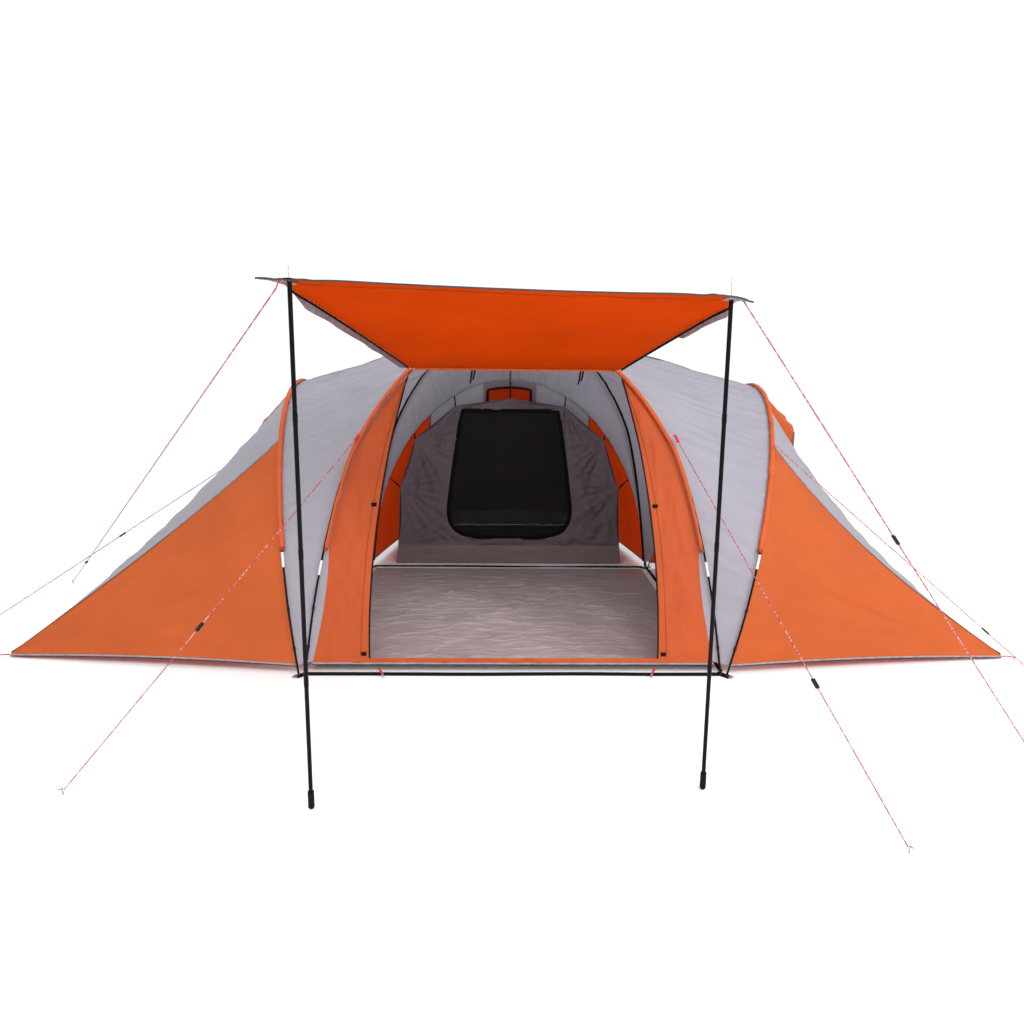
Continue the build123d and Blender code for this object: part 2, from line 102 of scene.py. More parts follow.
CORD = 0.005
CORD_LIFT = 0.014
CORD_END = 0.008            # a cord stops this short of its peg's middle
GUYS = {                    # upper end, peg
    "awning_left": ((-0.824, -2.452, 1.894), (-3.291, 0.608)),
    "awning_right": ((0.772, -2.288, 1.885), (2.197, -2.149)),
    "front_left": ((-0.862, -0.868, 1.256), (-1.773, -2.317)),
    "front_right": ((0.884, -0.884, 1.258), (1.347, -2.704)),
    "side_left": ((-1.380, 0.560, 1.352), (-3.310, -0.412)),
    "side_right": ((1.512, -0.742, 1.190), (2.842, -1.221)),
}


# ---- curves, as in the part's source
def place(side, out, along, up):
    """Points given outwards from the centre and along a pod's ground line."""
    out, along, up = np.broadcast_arrays(out, along, up)
    if side == "rear":
        return np.stack([along, out, up], -1).astype(float)
    return np.stack([-out if side == "left" else out, along, up], -1).astype(float)


def hoop(side, degrees, inset=DROP):
    a = np.radians(degrees)
    up = (HOOP_HEIGHT - inset) * np.sin(a)
    return place(side, HOOP_BASE + LEAN[side] * up / HOOP_HEIGHT, (HOOP_HALF - inset) * np.cos(a), up)


def dome_profile(degrees, inset=DROP):
    a = np.radians(degrees)
    up = (DOME_HEIGHT - inset) * np.sin(a)
    waist = np.where((up > 0) & (up < WAIST_TOP), POLE_WAIST * np.sin(PI * up / WAIST_TOP), 0)
    return (DOME_HALF - inset) * np.cos(a) - waist, up


def dome(sx, sy, degrees, inset=DROP):
    half, up = dome_profile(degrees, inset)
    return np.stack([sx * half, sy * half, up], -1)


def dome_half(up):
    """Half width of the dome's cloth at a height."""
    return dome_profile(np.degrees(np.arcsin(np.clip(up / (DOME_HEIGHT - DROP), 0, 1))))[0]


def mix(a, b, t):
    return a * (1 - t) + b * t


def straight(a, b, count):
    return mix(np.array(a, float), np.array(b, float), np.linspace(0, 1, count)[:, None])


def pinned(t, sharp=0.6):
    """0 at both ends of 0..1 and about 1 between them."""
    return np.sin(PI * np.clip(t, 0, 1)) ** sharp


def wander(seed, u, v, per_u, per_v, waves=16):
    """Smooth random relief of about unit size, with this many ripples per unit of u and v."""
    rng = np.random.default_rng(seed)
    total = np.zeros(np.broadcast(u, v).shape)
    for _ in range(waves):
        ku, kv = rng.normal(0, per_u), rng.normal(0, per_v)
        total += np.cos(2 * PI * (ku * u + kv * v) + rng.uniform(0, 2 * PI))
    return total / math.sqrt(waves / 2)


def folds(seed, u, v, per_u, per_v):
    """Narrow raised creases with calm cloth between them."""
    return np.exp(-(wander(seed, u, v, per_u, per_v) / CREASE) ** 2)


# ---- grids of points
def unit(v):
    return v / np.maximum(np.linalg.norm(v, axis=-1, keepdims=True), 1e-9)


def path_length(path):
    """Distance along a path, at each of its points."""
    return np.concatenate([[0], np.cumsum(np.linalg.norm(np.diff(path, axis=0), axis=-1))])


def resample(points, count):
    """Evenly spaced points along a polyline."""
    points = np.array(points, float)
    steps = path_length(points)
    at = np.linspace(0, steps[-1], count)
    return np.stack([np.interp(at, steps, points[:, k]) for k in range(points.shape[1])], -1)


def normals(grid, centre=(0, 0, 0.6)):
    """Unit normals of a grid of points, turned away from a centre."""
    n = unit(np.cross(np.gradient(grid, axis=0), np.gradient(grid, axis=1)))
    outward = np.sum(n * (grid - np.array(centre)))
    return n * (-1 if outward < 0 else 1)


def facing(grid, centre):
    """The grid turned, if need be, so that its faces look away from a point."""
    i, j = grid.shape[0] // 2, grid.shape[1] // 2
    look = np.cross(grid[i + 1, j] - grid[i, j], grid[i, j + 1] - grid[i, j])
    return grid if np.dot(look, grid[i, j] - np.array(centre)) > 0 else grid[::-1]


def ribbon_grid(path, across, normal, width, lift=0.0012, crown=0.0006):
    """A narrow strip along a path, lying on a surface and a little crowned."""
    rows = [path + across * (k * width / 2) + normal * (lift + crown * (1 - k * k)) for k in np.linspace(-1, 1, 5)]
    return np.stack(rows, axis=1)


def seams_on(grid, normal, width=0.012, lift=0.0012, rows=(), columns=(), faces=(1, -1)):
    """Tapes along chosen rows and columns of a panel, on its outer face (1), its inner one (-1) or both."""
    tapes = []
    for face in faces:
        for at in [np.s_[row] for row in rows] + [np.s_[:, column] for column in columns]:
            path, n = grid[at], face * normal[at]
            across = unit(np.cross(unit(np.gradient(path, axis=0)), n))
            tapes.append(ribbon_grid(path, across, n, width, lift))
    return tapes


def tube_grid(path, wide, tall, normal, segments):
    """A closed tube along a path, with separate half widths across and along the given normal."""
    across = unit(np.cross(unit(np.gradient(path, axis=0)), normal))
    n = unit(np.cross(across, unit(np.gradient(path, axis=0))))
    wide, tall = (np.broadcast_to(size, len(path))[:, None] for size in (wide, tall))
    turn = np.linspace(0, 2 * PI, segments + 1)
    return np.stack([path + across * np.cos(t) * wide + n * np.sin(t) * tall for t in turn], axis=1)


def band_grid(path, across, normal, width, thick, steps=(-1, 0, 1)):
    """A flat strap along a path: its upper face, and its lower face back to the start."""
    upper = [path + across * (k * width / 2) + normal * (thick / 2) for k in steps]
    lower = [path + across * (k * width / 2) - normal * (thick / 2) for k in reversed(steps)]
    return np.stack(upper + lower + [upper[0]], axis=1)


# ---- pieces
def mesh_object(name, points, faces, material, uvs=None):
    data = bpy.data.meshes.new(name)
    data.from_pydata([tuple(p) for p in points], [], faces)
    data.update()
    if uvs is not None:
        layer = data.uv_layers.new(name="cloth")
        loops = np.zeros(len(data.loops), dtype=np.int32)
        data.loops.foreach_get("vertex_index", loops)
        layer.data.foreach_set("uv", np.asarray(uvs, dtype=np.float32)[loops].ravel())
    data.polygons.foreach_set("use_smooth", [True] * len(data.polygons))
    data.materials.append(material)
    made = bpy.data.objects.new(name, data)
    bpy.context.scene.collection.objects.link(made)
    return made


def cloth_lengths(grid):
    """Distance along each row and column in metres, for the weave."""
    du = np.linalg.norm(np.diff(grid, axis=0), axis=-1).mean(axis=1)
    dv = np.linalg.norm(np.diff(grid, axis=1), axis=-1).mean(axis=0)
    u = np.concatenate([[0], np.cumsum(du)])
    v = np.concatenate([[0], np.cumsum(dv)])
    return np.stack(np.meshgrid(u, v, indexing="ij"), -1)


def grid_faces(rows, cols, keep, start):
    faces = []
    for r in range(rows - 1):
        for c in range(cols - 1):
            if keep is None or keep[r, c]:
                a = start + r * cols + c
                faces.append((a, a + cols, a + cols + 1, a + 1))
    return faces


def settle(obj, nodes, body):
    """The body a piece rides on, and the CAD nodes it stands for, which are hidden."""
    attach(obj, body)
    if nodes:
        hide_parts(*nodes)


def piece(name, grids, material, slot, *nodes, body="tent", keep=None, held=None, rests_on=None):
    """One named piece made of grids; where it is held somehow, those grids are cuts of a sheet."""
    points, faces, uvs = [], [], []
    for grid in grids:
        faces += grid_faces(*grid.shape[:2], keep, len(points))
        points += list(grid.reshape(-1, 3))
        uvs += list(cloth_lengths(grid).reshape(-1, 2))
    made = mesh_object(name, points, faces, material, uvs)
    settle(made, nodes, body)
    if held:
        declare_sheet(grids, held, rests_on)


def grid_size(grid):
    """Greatest width and length of a panel, and its area, measured on its mesh."""
    a = grid[1:, 1:] - grid[:-1, :-1]
    b = grid[1:, :-1] - grid[:-1, 1:]
    area = float(np.linalg.norm(np.cross(a, b), axis=-1).sum() / 2)
    wide = float(np.linalg.norm(np.diff(grid, axis=0), axis=-1).sum(axis=0).max())
    long = float(np.linalg.norm(np.diff(grid, axis=1), axis=-1).sum(axis=1).max())
    return wide, long, area


LEAST_FILL = 0.31           # the least share of its flat rectangle that a sheet is taken to fill


def declare_sheet(grids, held, rests_on):
    """Work out a sheet's flat size and the share of it that the sheet fills. Its cuts, one grid each, are laid end
    to end for the flat size. The result is not used.
    """
    sizes = np.array([grid_size(grid) for grid in grids])
    wide, long, area = sizes[:, 0].max(), sizes[:, 1].sum(), sizes[:, 2].sum()
    share = min(max(area, LEAST_FILL * wide * long), wide * long)
    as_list(rests_on)


def shared(side, node):
    """A CAD node that holds all three sides' copies is replaced by the first side's piece."""
    return [node] if side == SIDES[0] else []


# ---- materials
class Recipe:
    """A material in the making. A node's inputs are plain values or other nodes' sockets."""

    def __init__(self, name):
        self.material = bpy.data.materials.new(name)
        self.material.use_nodes = True
        self.tree = self.material.node_tree
        self.tree.nodes.clear()
        self.where = self.add("TexCoord", {}).outputs["Object"]

    def add(self, kind, inputs, **settings):
        node = self.tree.nodes.new("ShaderNode" + kind)
        for key, value in settings.items():
            setattr(node, key, value)
        for key, value in inputs.items():
            if isinstance(value, bpy.types.NodeSocket):
                self.tree.links.new(value, node.inputs[key])
            else:
                node.inputs[key].default_value = value
        return node

    def math(self, operation, *values):
        return self.add("Math", dict(enumerate(values)), operation=operation).outputs[0]

    def mix(self, a, b, factor, blend="MIX"):
        inputs = {0: factor, 6: a, 7: b}
        return self.add("Mix", inputs, data_type="RGBA", blend_type=blend).outputs[2]

    def noise(self, scale, detail=3, rough=0.55, stretch=None):
        at = self.add("Mapping", {"Vector": self.where, "Scale": stretch}).outputs[0] if stretch else self.where
        inputs = {"Vector": at, "Scale": scale, "Detail": detail, "Roughness": rough}
        return self.add("TexNoise", inputs).outputs["Fac"]

    def ramp(self, value, *stops):
        node = self.add("ValToRGB", {"Fac": value})
        for element, (at, colour) in zip(node.color_ramp.elements, stops):
            element.position = at
            element.color = (*colour, 1)
        return node.outputs["Color"]

    def mottled(self, value, colour, dark, light):
        """A colour that a slow noise makes darker and lighter by these factors."""
        return self.ramp(value, (0.3, shade(colour, dark)), (0.7, shade(colour, light)))

    def weave(self, per_metre):
        """Height, -1 to 1, of a plain weave laid on the cloth's own coordinates."""
        split = self.add("SeparateXYZ", {0: self.add("UVMap", {}, uv_map="cloth").outputs["UV"]})
        warp, weft = (self.math("SINE", self.math("MULTIPLY", split.outputs[k], per_metre * 2 * PI))
                      for k in (0, 1))
        return self.math("MULTIPLY", warp, weft)

    def bump(self, height, strength, distance, **under):
        inputs = {"Height": height, "Strength": strength, "Distance": distance, **under}
        return self.add("Bump", inputs).outputs[0]

    def shader(self, colour, gloss, **inputs):
        inputs = {key.replace("_", " "): value for key, value in inputs.items()}
        inputs.update({"Base Color": colour, "Specular IOR Level": gloss})
        return self.add("BsdfPrincipled", inputs).outputs[0]

    def blend(self, a, b, factor):
        return self.add("MixShader", {0: factor, 1: a, 2: b}).outputs[0]

    def done(self, surface):
        self.add("OutputMaterial", {"Surface": surface})
        return self.material


def shade(colour, factor):
    return tuple(min(1.0, c * factor) for c in colour)


def cloth_material(name, colour, translucency=0.0, back=None, roughness=0.62, sheen=0.03, threads=500,
                   crumple=0.3, variation=0.08, gloss=0.18):
    """Woven cloth: weave, fine crumple and slow colour change, with some light let through."""
    m = Recipe(name)
    weave, slow = m.weave(threads), m.noise(2.2, detail=4)
    thread_shade = m.ramp(m.math("MULTIPLY_ADD", weave, 0.5, 0.5), (0.0, (0.75, 0.75, 0.75)), (0.5, (1, 1, 1)))
    surface = m.mix(m.mottled(slow, colour, 1 - variation, 1 + variation), thread_shade, 0.25, "MULTIPLY")
    # The inner face can take its own colour. For the pods it is a darker orange, which is painted shade.
    if back:
        surface = m.mix(surface, (*back, 1), m.add("NewGeometry", {}).outputs["Backfacing"])
    crumples = m.bump(m.noise(38, detail=5, rough=0.6), crumple, 0.006)
    end = m.shader(surface, gloss, Roughness=m.math("MULTIPLY_ADD", slow, 0.15, roughness - 0.07),
                   Sheen_Weight=sheen, Sheen_Roughness=0.4, Normal=m.bump(weave, 0.2, 0.0004, Normal=crumples))
    if translucency:
        end = m.blend(end, m.add("BsdfTranslucent", {"Color": surface}).outputs[0], translucency)
    return m.done(end)


def mesh_material(name, colour, openness):
    """Insect mesh: dark threads with small holes between them."""
    m = Recipe(name)
    hole = m.math("GREATER_THAN", m.weave(700), 1 - 2 * openness)
    thread = m.shader(m.mottled(m.noise(4), colour, 0.8, 1.3), 0.12, Roughness=0.75)
    return m.done(m.blend(thread, m.add("BsdfTransparent", {}).outputs[0], hole))


def webbing_material(name, colour, ribs=260):
    """Flat woven tape with ribs across it."""
    m = Recipe(name)
    tint = m.mottled(m.noise(30), colour, 0.8, 1.25)
    return m.done(m.shader(tint, 0.12, Roughness=0.7, Normal=m.bump(m.weave(ribs), 0.5, 0.0006)))


def cord_material(name, colour, fleck):
    """Braided cord: a diagonal braid with a paler reflective thread in it."""
    m = Recipe(name)
    tint = m.ramp(m.noise(75, detail=1), (0.52, colour), (0.58, fleck))
    braid = m.add("TexWave", {"Vector": m.where, "Scale": 400, "Distortion": 1}, wave_type="BANDS",
                  bands_direction="DIAGONAL").outputs["Fac"]
    return m.done(m.shader(tint, 0.5, Roughness=0.6, Sheen_Weight=0.1, Normal=m.bump(braid, 0.5, 0.0005)))


def solid_material(name, colour, roughness=0.4, metallic=0.0, grain=120, relief=0.15, brushed=False, gloss=0.5):
    """Moulded plastic, painted tube or drawn metal, with fine grain and small changes of gloss."""
    m = Recipe(name)
    fine = m.noise(grain, detail=4, stretch=(1, 1, 0.04) if brushed else None)
    change = m.math("MULTIPLY_ADD", fine, 0.2, max(roughness - 0.1, 0.02))
    return m.done(m.shader(m.mottled(m.noise(9), colour, 0.88, 1.1), gloss, Metallic=metallic, Roughness=change,
                           Normal=m.bump(fine, relief, 0.0004)))


ORANGE = (0.54, 0.094, 0.022)
# A lighter copy of the fly's orange for the pods: painted light.
POD_PAINTED_LIGHT_ORANGE = (0.68, 0.140, 0.036)
# A darker, deeper orange for the inner face of the pods and hoods: painted shade.
INSIDE_PAINTED_SHADE_ORANGE = (0.58, 0.042, 0.002)
# A deeper, darker copy of the fly's orange for the awning's underside: painted shade.
AWNING_PAINTED_SHADE_ORANGE = (0.50, 0.043, 0.0015)
GRAY = (0.355, 0.345, 0.400)
BLACK = (0.0025, 0.0024, 0.0027)
orange_cloth = cloth_material("orange_cloth", ORANGE, translucency=0.25, roughness=0.55, crumple=0.6, gloss=0.25)
pod_cloth_painted_light_and_shade = cloth_material("pod_cloth_painted_light_and_shade", POD_PAINTED_LIGHT_ORANGE, translucency=0.40, back=INSIDE_PAINTED_SHADE_ORANGE)
awning_painted_shade_cloth = cloth_material("awning_painted_shade_cloth", AWNING_PAINTED_SHADE_ORANGE, translucency=0.30, sheen=0.0, gloss=0.01,
                               crumple=0.6)
gray_cloth = cloth_material("gray_cloth", GRAY, translucency=0.25, roughness=0.50, crumple=0.7, gloss=0.35)
sleeve_cloth = cloth_material("sleeve_cloth", shade(ORANGE, 0.90), crumple=0.7)
seam_orange = webbing_material("seam_orange", shade(ORANGE, 0.55), ribs=400)
seam_gray = webbing_material("seam_gray", shade(GRAY, 0.60), ribs=400)
cabin_cloth = cloth_material("cabin_cloth", (0.165, 0.132, 0.150), translucency=0.15, roughness=0.7, crumple=0.6)
tub_cloth = cloth_material("tub_cloth", (0.20, 0.150, 0.150), roughness=0.45, threads=300, gloss=0.25)
floor_cloth = cloth_material("floor_cloth", (0.38, 0.322, 0.320), roughness=0.42, threads=300, crumple=0.7,
                             variation=0.10, gloss=0.45)
insect_mesh = mesh_material("insect_mesh", (0.010, 0.008, 0.0085), openness=0.05)
vent_mesh = mesh_material("vent_mesh", (0.016, 0.013, 0.014), openness=0.6)
black_webbing = webbing_material("black_webbing", BLACK)
gray_binding = webbing_material("gray_binding", (0.27, 0.26, 0.29), ribs=500)
dark_binding = webbing_material("dark_binding", (0.014, 0.013, 0.015), ribs=500)
rim_binding = webbing_material("rim_binding", (0.060, 0.048, 0.050), ribs=500)
zip_tape = webbing_material("zip_tape", BLACK, ribs=420)
red_cord = cord_material("red_cord", (0.36, 0.030, 0.045), (0.50, 0.30, 0.31))
red_loop = webbing_material("red_loop", (0.55, 0.025, 0.02))
pole_fibre = solid_material("pole_fibre", BLACK, roughness=0.3, grain=60, gloss=0.10)
prop_paint = solid_material("prop_paint", BLACK, roughness=0.20, grain=90, gloss=0.10)
bright_steel = solid_material("bright_steel", (0.62, 0.62, 0.63), roughness=0.28, metallic=1, grain=200,
                              brushed=True)
pale_ferrule = solid_material("pale_ferrule", (0.72, 0.72, 0.73), roughness=0.35, metallic=0.6, brushed=True)
zinc_steel = solid_material("zinc_steel", (0.42, 0.42, 0.43), metallic=1, grain=150)
black_plastic = solid_material("black_plastic", BLACK, roughness=0.5, grain=300, gloss=0.25)
black_rubber = solid_material("black_rubber", BLACK, roughness=0.75, grain=220, relief=0.3, gloss=0.15)

CAD_MATERIALS = {
    "pole_dome_a": pole_fibre, "pole_dome_b": pole_fibre, "pole_hoop_left": pole_fibre,
    "pole_hoop_right": pole_fibre, "pole_hoop_rear": pole_fibre, "pole_ferrules": pale_ferrule,
    "pole_clips": black_plastic, "pole_feet": zinc_steel, "pegs": zinc_steel, "awning_grommets": bright_steel,
    "prop_left_tube": prop_paint, "prop_right_tube": prop_paint,
    "prop_left_foot": black_rubber, "prop_right_foot": black_rubber,
    "prop_left_spike": bright_steel, "prop_right_spike": bright_steel,
    **{f"slider_{guy}": black_plastic for guy in GUYS},
}
for node, material in CAD_MATERIALS.items():
    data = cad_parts[node].data
    data.materials.clear()
    data.materials.append(material)


# ---- flysheet over the dome
GORE_ROWS, GORE_COLUMNS = 301, 57
# The roof panel's column along which the painted pole shade runs on the inner face.
SHADE_STRIP_COLUMN = 53            # of the roof panel's columns, counted from the hoop
FRONT_CENTRE = (0, 0.4, 0.6)


def seam_shift(up):
    return SEAM_SHIFT * np.sin(PI * np.clip(up / SLEEVE_FOOT, 0, 1)) ** 0.7


def gore_corner(sx, sy, angles):
    """Where a roof panel meets its crossing pole; at the front it wraps a little onto the front face."""
    line = dome(sx, sy, angles)
    if sy < 0:
        line[:, 0] -= sx * seam_shift(line[:, 2])
    return line


def gore_grid(side):
    angles = np.linspace(HEM_ANGLE, 180 - HEM_ANGLE, GORE_ROWS)
    t = np.linspace(0, 1, GORE_COLUMNS)
    plus, minus = GORE_CORNERS[side]
    lower = np.where(angles <= 90, angles, 180 - angles)
    at_hoop = hoop(side, angles)
    at_dome = np.where((angles <= 90)[:, None], gore_corner(*plus, lower), gore_corner(*minus, lower))
    grid = mix(at_hoop[:, None], at_dome[:, None], t[None, :, None])
    a, w = np.meshgrid(np.radians(angles), t, indexing="ij")
    span = np.linalg.norm(at_hoop - at_dome, axis=-1)[:, None]
    across, arc = w * span, a * 1.35
    high = np.sin(a) ** 3
    near_seams = 1 - 0.5 * pinned(w, 1.5)
    sag = -0.045 * pinned(w, 1) * np.abs(np.sin(2 * a)) ** 0.8 * np.clip(span, 0, 1)
    ripple = 0.0075 * wander(11, arc, across, 10, 0.8) * near_seams * (0.25 + 0.75 * high)
    crease = 0.016 * folds(12, arc, across, 4.0, 0.5) * (0.20 + 0.80 * high)
    gather = 0.005 * wander(13, arc, across, 22, 2) * np.exp(-across / 0.20)
    fine = 0.0050 * wander(14, arc, across, 17, 0.6) * high
    relief = sag + (ripple + crease + fine) * pinned(w, 0.5) + gather * pinned(w, 0.3)
    relief = relief * pinned((a - a[0, 0]) / (a[-1, 0] - a[0, 0]), 0.3)
    return grid + normals(grid) * relief[..., None]


def fly_roof():
    for side in SIDES:
        grid = gore_grid(side)
        piece(f"fly_roof_{side}", [grid], gray_cloth, "fly_gray", f"gore_{side}",
              held="stretched", rests_on=[f"pole_hoop_{side}"])
        ridge = seams_on(grid, normals(grid), 0.016, rows=[GORE_ROWS // 2])
        piece(f"ridge_seam_{side}", ridge, seam_gray, "fly_gray")


def front_grid(low, high, left, right, rows, cols, seed):
    """A part of the front face between two heights; left and right give X at each height."""
    up = np.linspace(low, high, rows)
    t = np.linspace(0, 1, cols)
    x = mix(left(up)[:, None], right(up)[:, None], t[None, :])
    grid = np.stack(np.broadcast_arrays(x, -dome_half(up)[:, None], up[:, None]), -1)
    edge = pinned(t)[None, :] * pinned((up - low) / (high - low), 0.25)[:, None]
    z = grid[..., 2]
    ripple = 0.0035 * wander(seed, x, z, 5, 2.2) + 0.005 * folds(seed + 1, x, z, 3, 1.2)
    ripple = ripple + 0.0014 * wander(seed + 5, x, z, 15, 6)
    return grid + normals(grid, FRONT_CENTRE) * (ripple * edge)[..., None]


def pole_half(up):
    """Half width of the front face's cloth at a height."""
    return dome_half(up) - seam_shift(up)


def door_half(up):
    """Half width of the doorway, with its slants rounded into one curve."""
    return np.polyval(np.polyfit(DOOR_EDGE[:, 1], DOOR_EDGE[:, 0], 3), up)


def cheek_grid(sign):
    return front_grid(DOOR_SILL, DOOR_TOP, lambda up: sign * pole_half(up), lambda up: sign * door_half(up),
                      rows=110, cols=26, seed=30 + sign)


def sill_grid():
    return front_grid(HEM, DOOR_SILL, lambda up: -pole_half(up), pole_half, rows=8, cols=120, seed=43)


def fly_front():
    cheeks = [cheek_grid(sign) for sign in (-1, 1)]
    crown = DOME_HEIGHT - DROP - 0.002
    top = front_grid(DOOR_TOP, crown, lambda up: -pole_half(up), pole_half, rows=36, cols=60, seed=41)
    for name, grids, node in (("front_cheek_panels", cheeks, "front_cheeks"),
                              ("front_top_panel", [top], "front_top"),
                              ("door_sill_panel", [sill_grid()], "door_sill")):
        piece(name, grids, orange_cloth, "fly_orange", node, held="stretched", rests_on=CROSSING_POLES)
    tapes, coils, stitching = [], [], []
    for grid in cheeks:
        n = normals(grid, FRONT_CENTRE)
        tapes += seams_on(grid, n, 0.009, 0.0016, columns=[-1], faces=[1])
        coils.append(tube_grid(grid[:, -1] + n[:, -1] * 0.0025, 0.0022, 0.00132, n[:, -1], 8))
        stitching += seams_on(grid, n, 0.004, columns=[-5], faces=[1])
    piece("door_zip_tapes", tapes, zip_tape, "zip_black", "door_zips")
    piece("door_zip_coils", coils, black_plastic, "zip_black")
    piece("door_flap_seams", stitching, seam_orange, "fly_orange")
    brow = seams_on(top, normals(top, FRONT_CENTRE), 0.016, rows=[1], faces=[1])
    piece("door_top_seam", brow, seam_orange, "fly_orange")


def inner_pole_shade_strips():
    """Black strips inside the side roof panels, beside the rear halves of the crossing poles, painting the shade
    along their sleeves.
    """
    tapes = []
    for side in ("left", "right"):
        grid = gore_grid(side)
        rear = slice(GORE_ROWS // 2)
        tapes += seams_on(grid[rear], normals(grid)[rear], 0.018, 0.003, columns=[SHADE_STRIP_COLUMN], faces=[-1])
    piece("inner_shade_strips", tapes, black_webbing, "webbing_black")


# ---- pole sleeves
SLEEVE_SINK = 0.003         # a sleeve's middle lies this far inside its pole's axis
SLEEVE_EDGE = 0.0125


def sleeve_tube(path, outward, seed):
    """A flat fabric sleeve round a pole, gathered a little along its length."""
    length = path_length(path)
    wide = 0.0135 + 0.0012 * wander(seed, length, 0, 9, 0)
    tall = 0.0112 + 0.0006 * wander(seed + 1, length, 0, 16, 0)
    return tube_grid(path - outward * SLEEVE_SINK, wide, tall, outward, 18)


def sleeve_edges(path, outward):
    """The two stitched edges of a sleeve."""
    across = unit(np.cross(unit(np.gradient(path, axis=0)), outward))
    middle = path - outward * 0.005
    return [ribbon_grid(middle + across * shift, across, outward, 0.006, lift=0, crown=0.0012)
            for shift in (-SLEEVE_EDGE, SLEEVE_EDGE)]


def sleeve_lines():
    """Centre line, point it bows away from, seed and open ends of each sleeve."""
    first = math.degrees(math.asin(SLEEVE_FOOT / HOOP_HEIGHT))
    for i, side in enumerate(SIDES):
        path = hoop(side, np.linspace(first, 180 - first, 160), inset=0)
        yield path, place(side, HOOP_BASE, 0, 0), 60 + i, (np.s_[:2], np.s_[-2:])
    for i, (sx, sy) in enumerate(((-1, -1), (1, -1), (-1, 1), (1, 1))):
        height = DOME_HEIGHT + (POLE_STACK if sx * sy > 0 else 0)
        first = math.degrees(math.asin(SLEEVE_FOOT / height))
        path = dome(sx, sy, np.linspace(first, 85.5, 130), inset=0)
        path[:, 2] *= height / DOME_HEIGHT
        yield path, np.array([0, 0, 0.4]), 70 + i, (np.s_[:2],)


def pole_sleeves():
    tubes, edges, cuffs = [], [], []
    for path, centre, seed, ends in sleeve_lines():
        outward = unit(path - centre)
        tubes.append(sleeve_tube(path, outward, seed))
        edges += sleeve_edges(path, outward)
        cuffs += [tube_grid(path[end] - outward[end] * SLEEVE_SINK, 0.0148, 0.0124, outward[end], 18)
                  for end in ends]
    piece("sleeves", tubes, sleeve_cloth, "fly_orange", "pole_sleeves")
    piece("sleeve_edges", edges, seam_orange, "fly_orange")
    piece("sleeve_cuffs", cuffs, seam_orange, "fly_orange")


# ---- pods
def pod_sag(side, t, weight):
    """How far the pod's cloth hangs below its straight lines."""
    return POD_SAG[side] * np.sin(PI * t ** 0.8) * weight


def pod_side_grid(side, sign):
    first, last = (HEM_ANGLE, SEAM_ANGLE) if sign > 0 else (180 - HEM_ANGLE, 180 - SEAM_ANGLE)
    share = np.linspace(0, 1, 46)
    t = np.linspace(0, 1, 80)
    corner = place(side, POD_REACH, sign * (POD_CORNER - POD_INSET * share ** 2), POD_HEM + POD_INSET * share)
    grid = mix(hoop(side, mix(first, last, share))[:, None], corner[:, None], t[None, :, None])
    n = normals(grid, place(side, POD_MIDDLE, 0, 0.3))
    w, s = np.meshgrid(share, t, indexing="ij")
    grid[..., 2] += HEM_RISE * np.sin(PI * s) * (1 - w) ** 4 - pod_sag(side, s, w ** 1.5)
    ripple = 0.004 * wander(81, w * 1.2, s * 1.8, 7, 0.8) + 0.006 * folds(82, w * 1.2, s * 1.8, 3.5, 0.5)
    billow = -0.030 * pinned(w, 1) * pinned(s, 0.8)
    relief = billow + ripple * pinned(w, 0.5) * pinned(s, 0.4) * np.clip((1 - s) * 1.3, 0.25, 1)
    return grid + n * relief[..., None]


def pod_end_grid(side):
    across = np.linspace(0, 1, 126)
    t = np.linspace(0, 1, 201)
    ground = place(side, POD_REACH, (POD_CORNER - POD_INSET) * (1 - 2 * across), POD_HEM + POD_INSET)
    at_hoop = hoop(side, mix(SEAM_ANGLE, 180 - SEAM_ANGLE, across))
    grid = mix(at_hoop[:, None], ground[:, None], t[None, :, None])
    n = normals(grid, place(side, POD_MIDDLE, 0, 0.3))
    c, s = np.meshgrid(across, t, indexing="ij")
    grid[..., 2] -= pod_sag(side, s, 1 + 0.25 * pinned(c, 1))
    ripple = 0.004 * wander(91, c * 1.5, s * 2, 1.2, 6) + 0.006 * folds(92, c * 1.5, s * 2, 0.8, 3)
    return grid + n * (ripple * pinned(c, 0.5) * pinned(s, 0.4))[..., None]


def pods():
    for side in SIDES:
        hub = place(side, POD_MIDDLE, 0, 0.3)
        sides = [facing(pod_side_grid(side, sign), hub) for sign in (1, -1)]
        piece(f"pod_side_panels_{side}", sides, pod_cloth_painted_light_and_shade, "fly_orange", f"pod_sides_{side}",
              held="stretched", rests_on=[f"pole_hoop_{side}"])
        end = pod_end_grid(side)
        n = normals(end, hub)
        c, t = (np.linspace(0, 1, count) for count in end.shape[:2])
        window = np.outer((c > VENT_ACROSS[0]) & (c < VENT_ACROSS[1]), (t > VENT_DOWN[0]) & (t < VENT_DOWN[1]))
        piece(f"pod_end_panel_{side}", [end], gray_cloth, "fly_gray", f"pod_end_{side}",
              keep=~window[:-1, :-1], held="stretched", rests_on=[f"pole_hoop_{side}"])
        piece(f"pod_seams_{side}", seams_on(end, n, 0.014, rows=[0, -1]), seam_gray, "fly_gray")
        vent(side, end, n, window)
        hood(side, end, c)


def vent(side, end, n, window):
    """The vent window's mesh and its frame."""
    rows, cols = np.flatnonzero(window.any(axis=1)), np.flatnonzero(window.any(axis=0))
    at = np.s_[rows[0]:rows[-1] + 2, cols[0]:cols[-1] + 2]
    piece(f"vent_net_{side}", [end[at]], vent_mesh, "cabin_mesh", *shared(side, "vent_meshes"))
    frame_tapes = seams_on(end[at], n[at], 0.024, 0.002, rows=[0, -1], columns=[0, -1])
    piece(f"vent_frame_{side}", frame_tapes, dark_binding, "webbing_black")


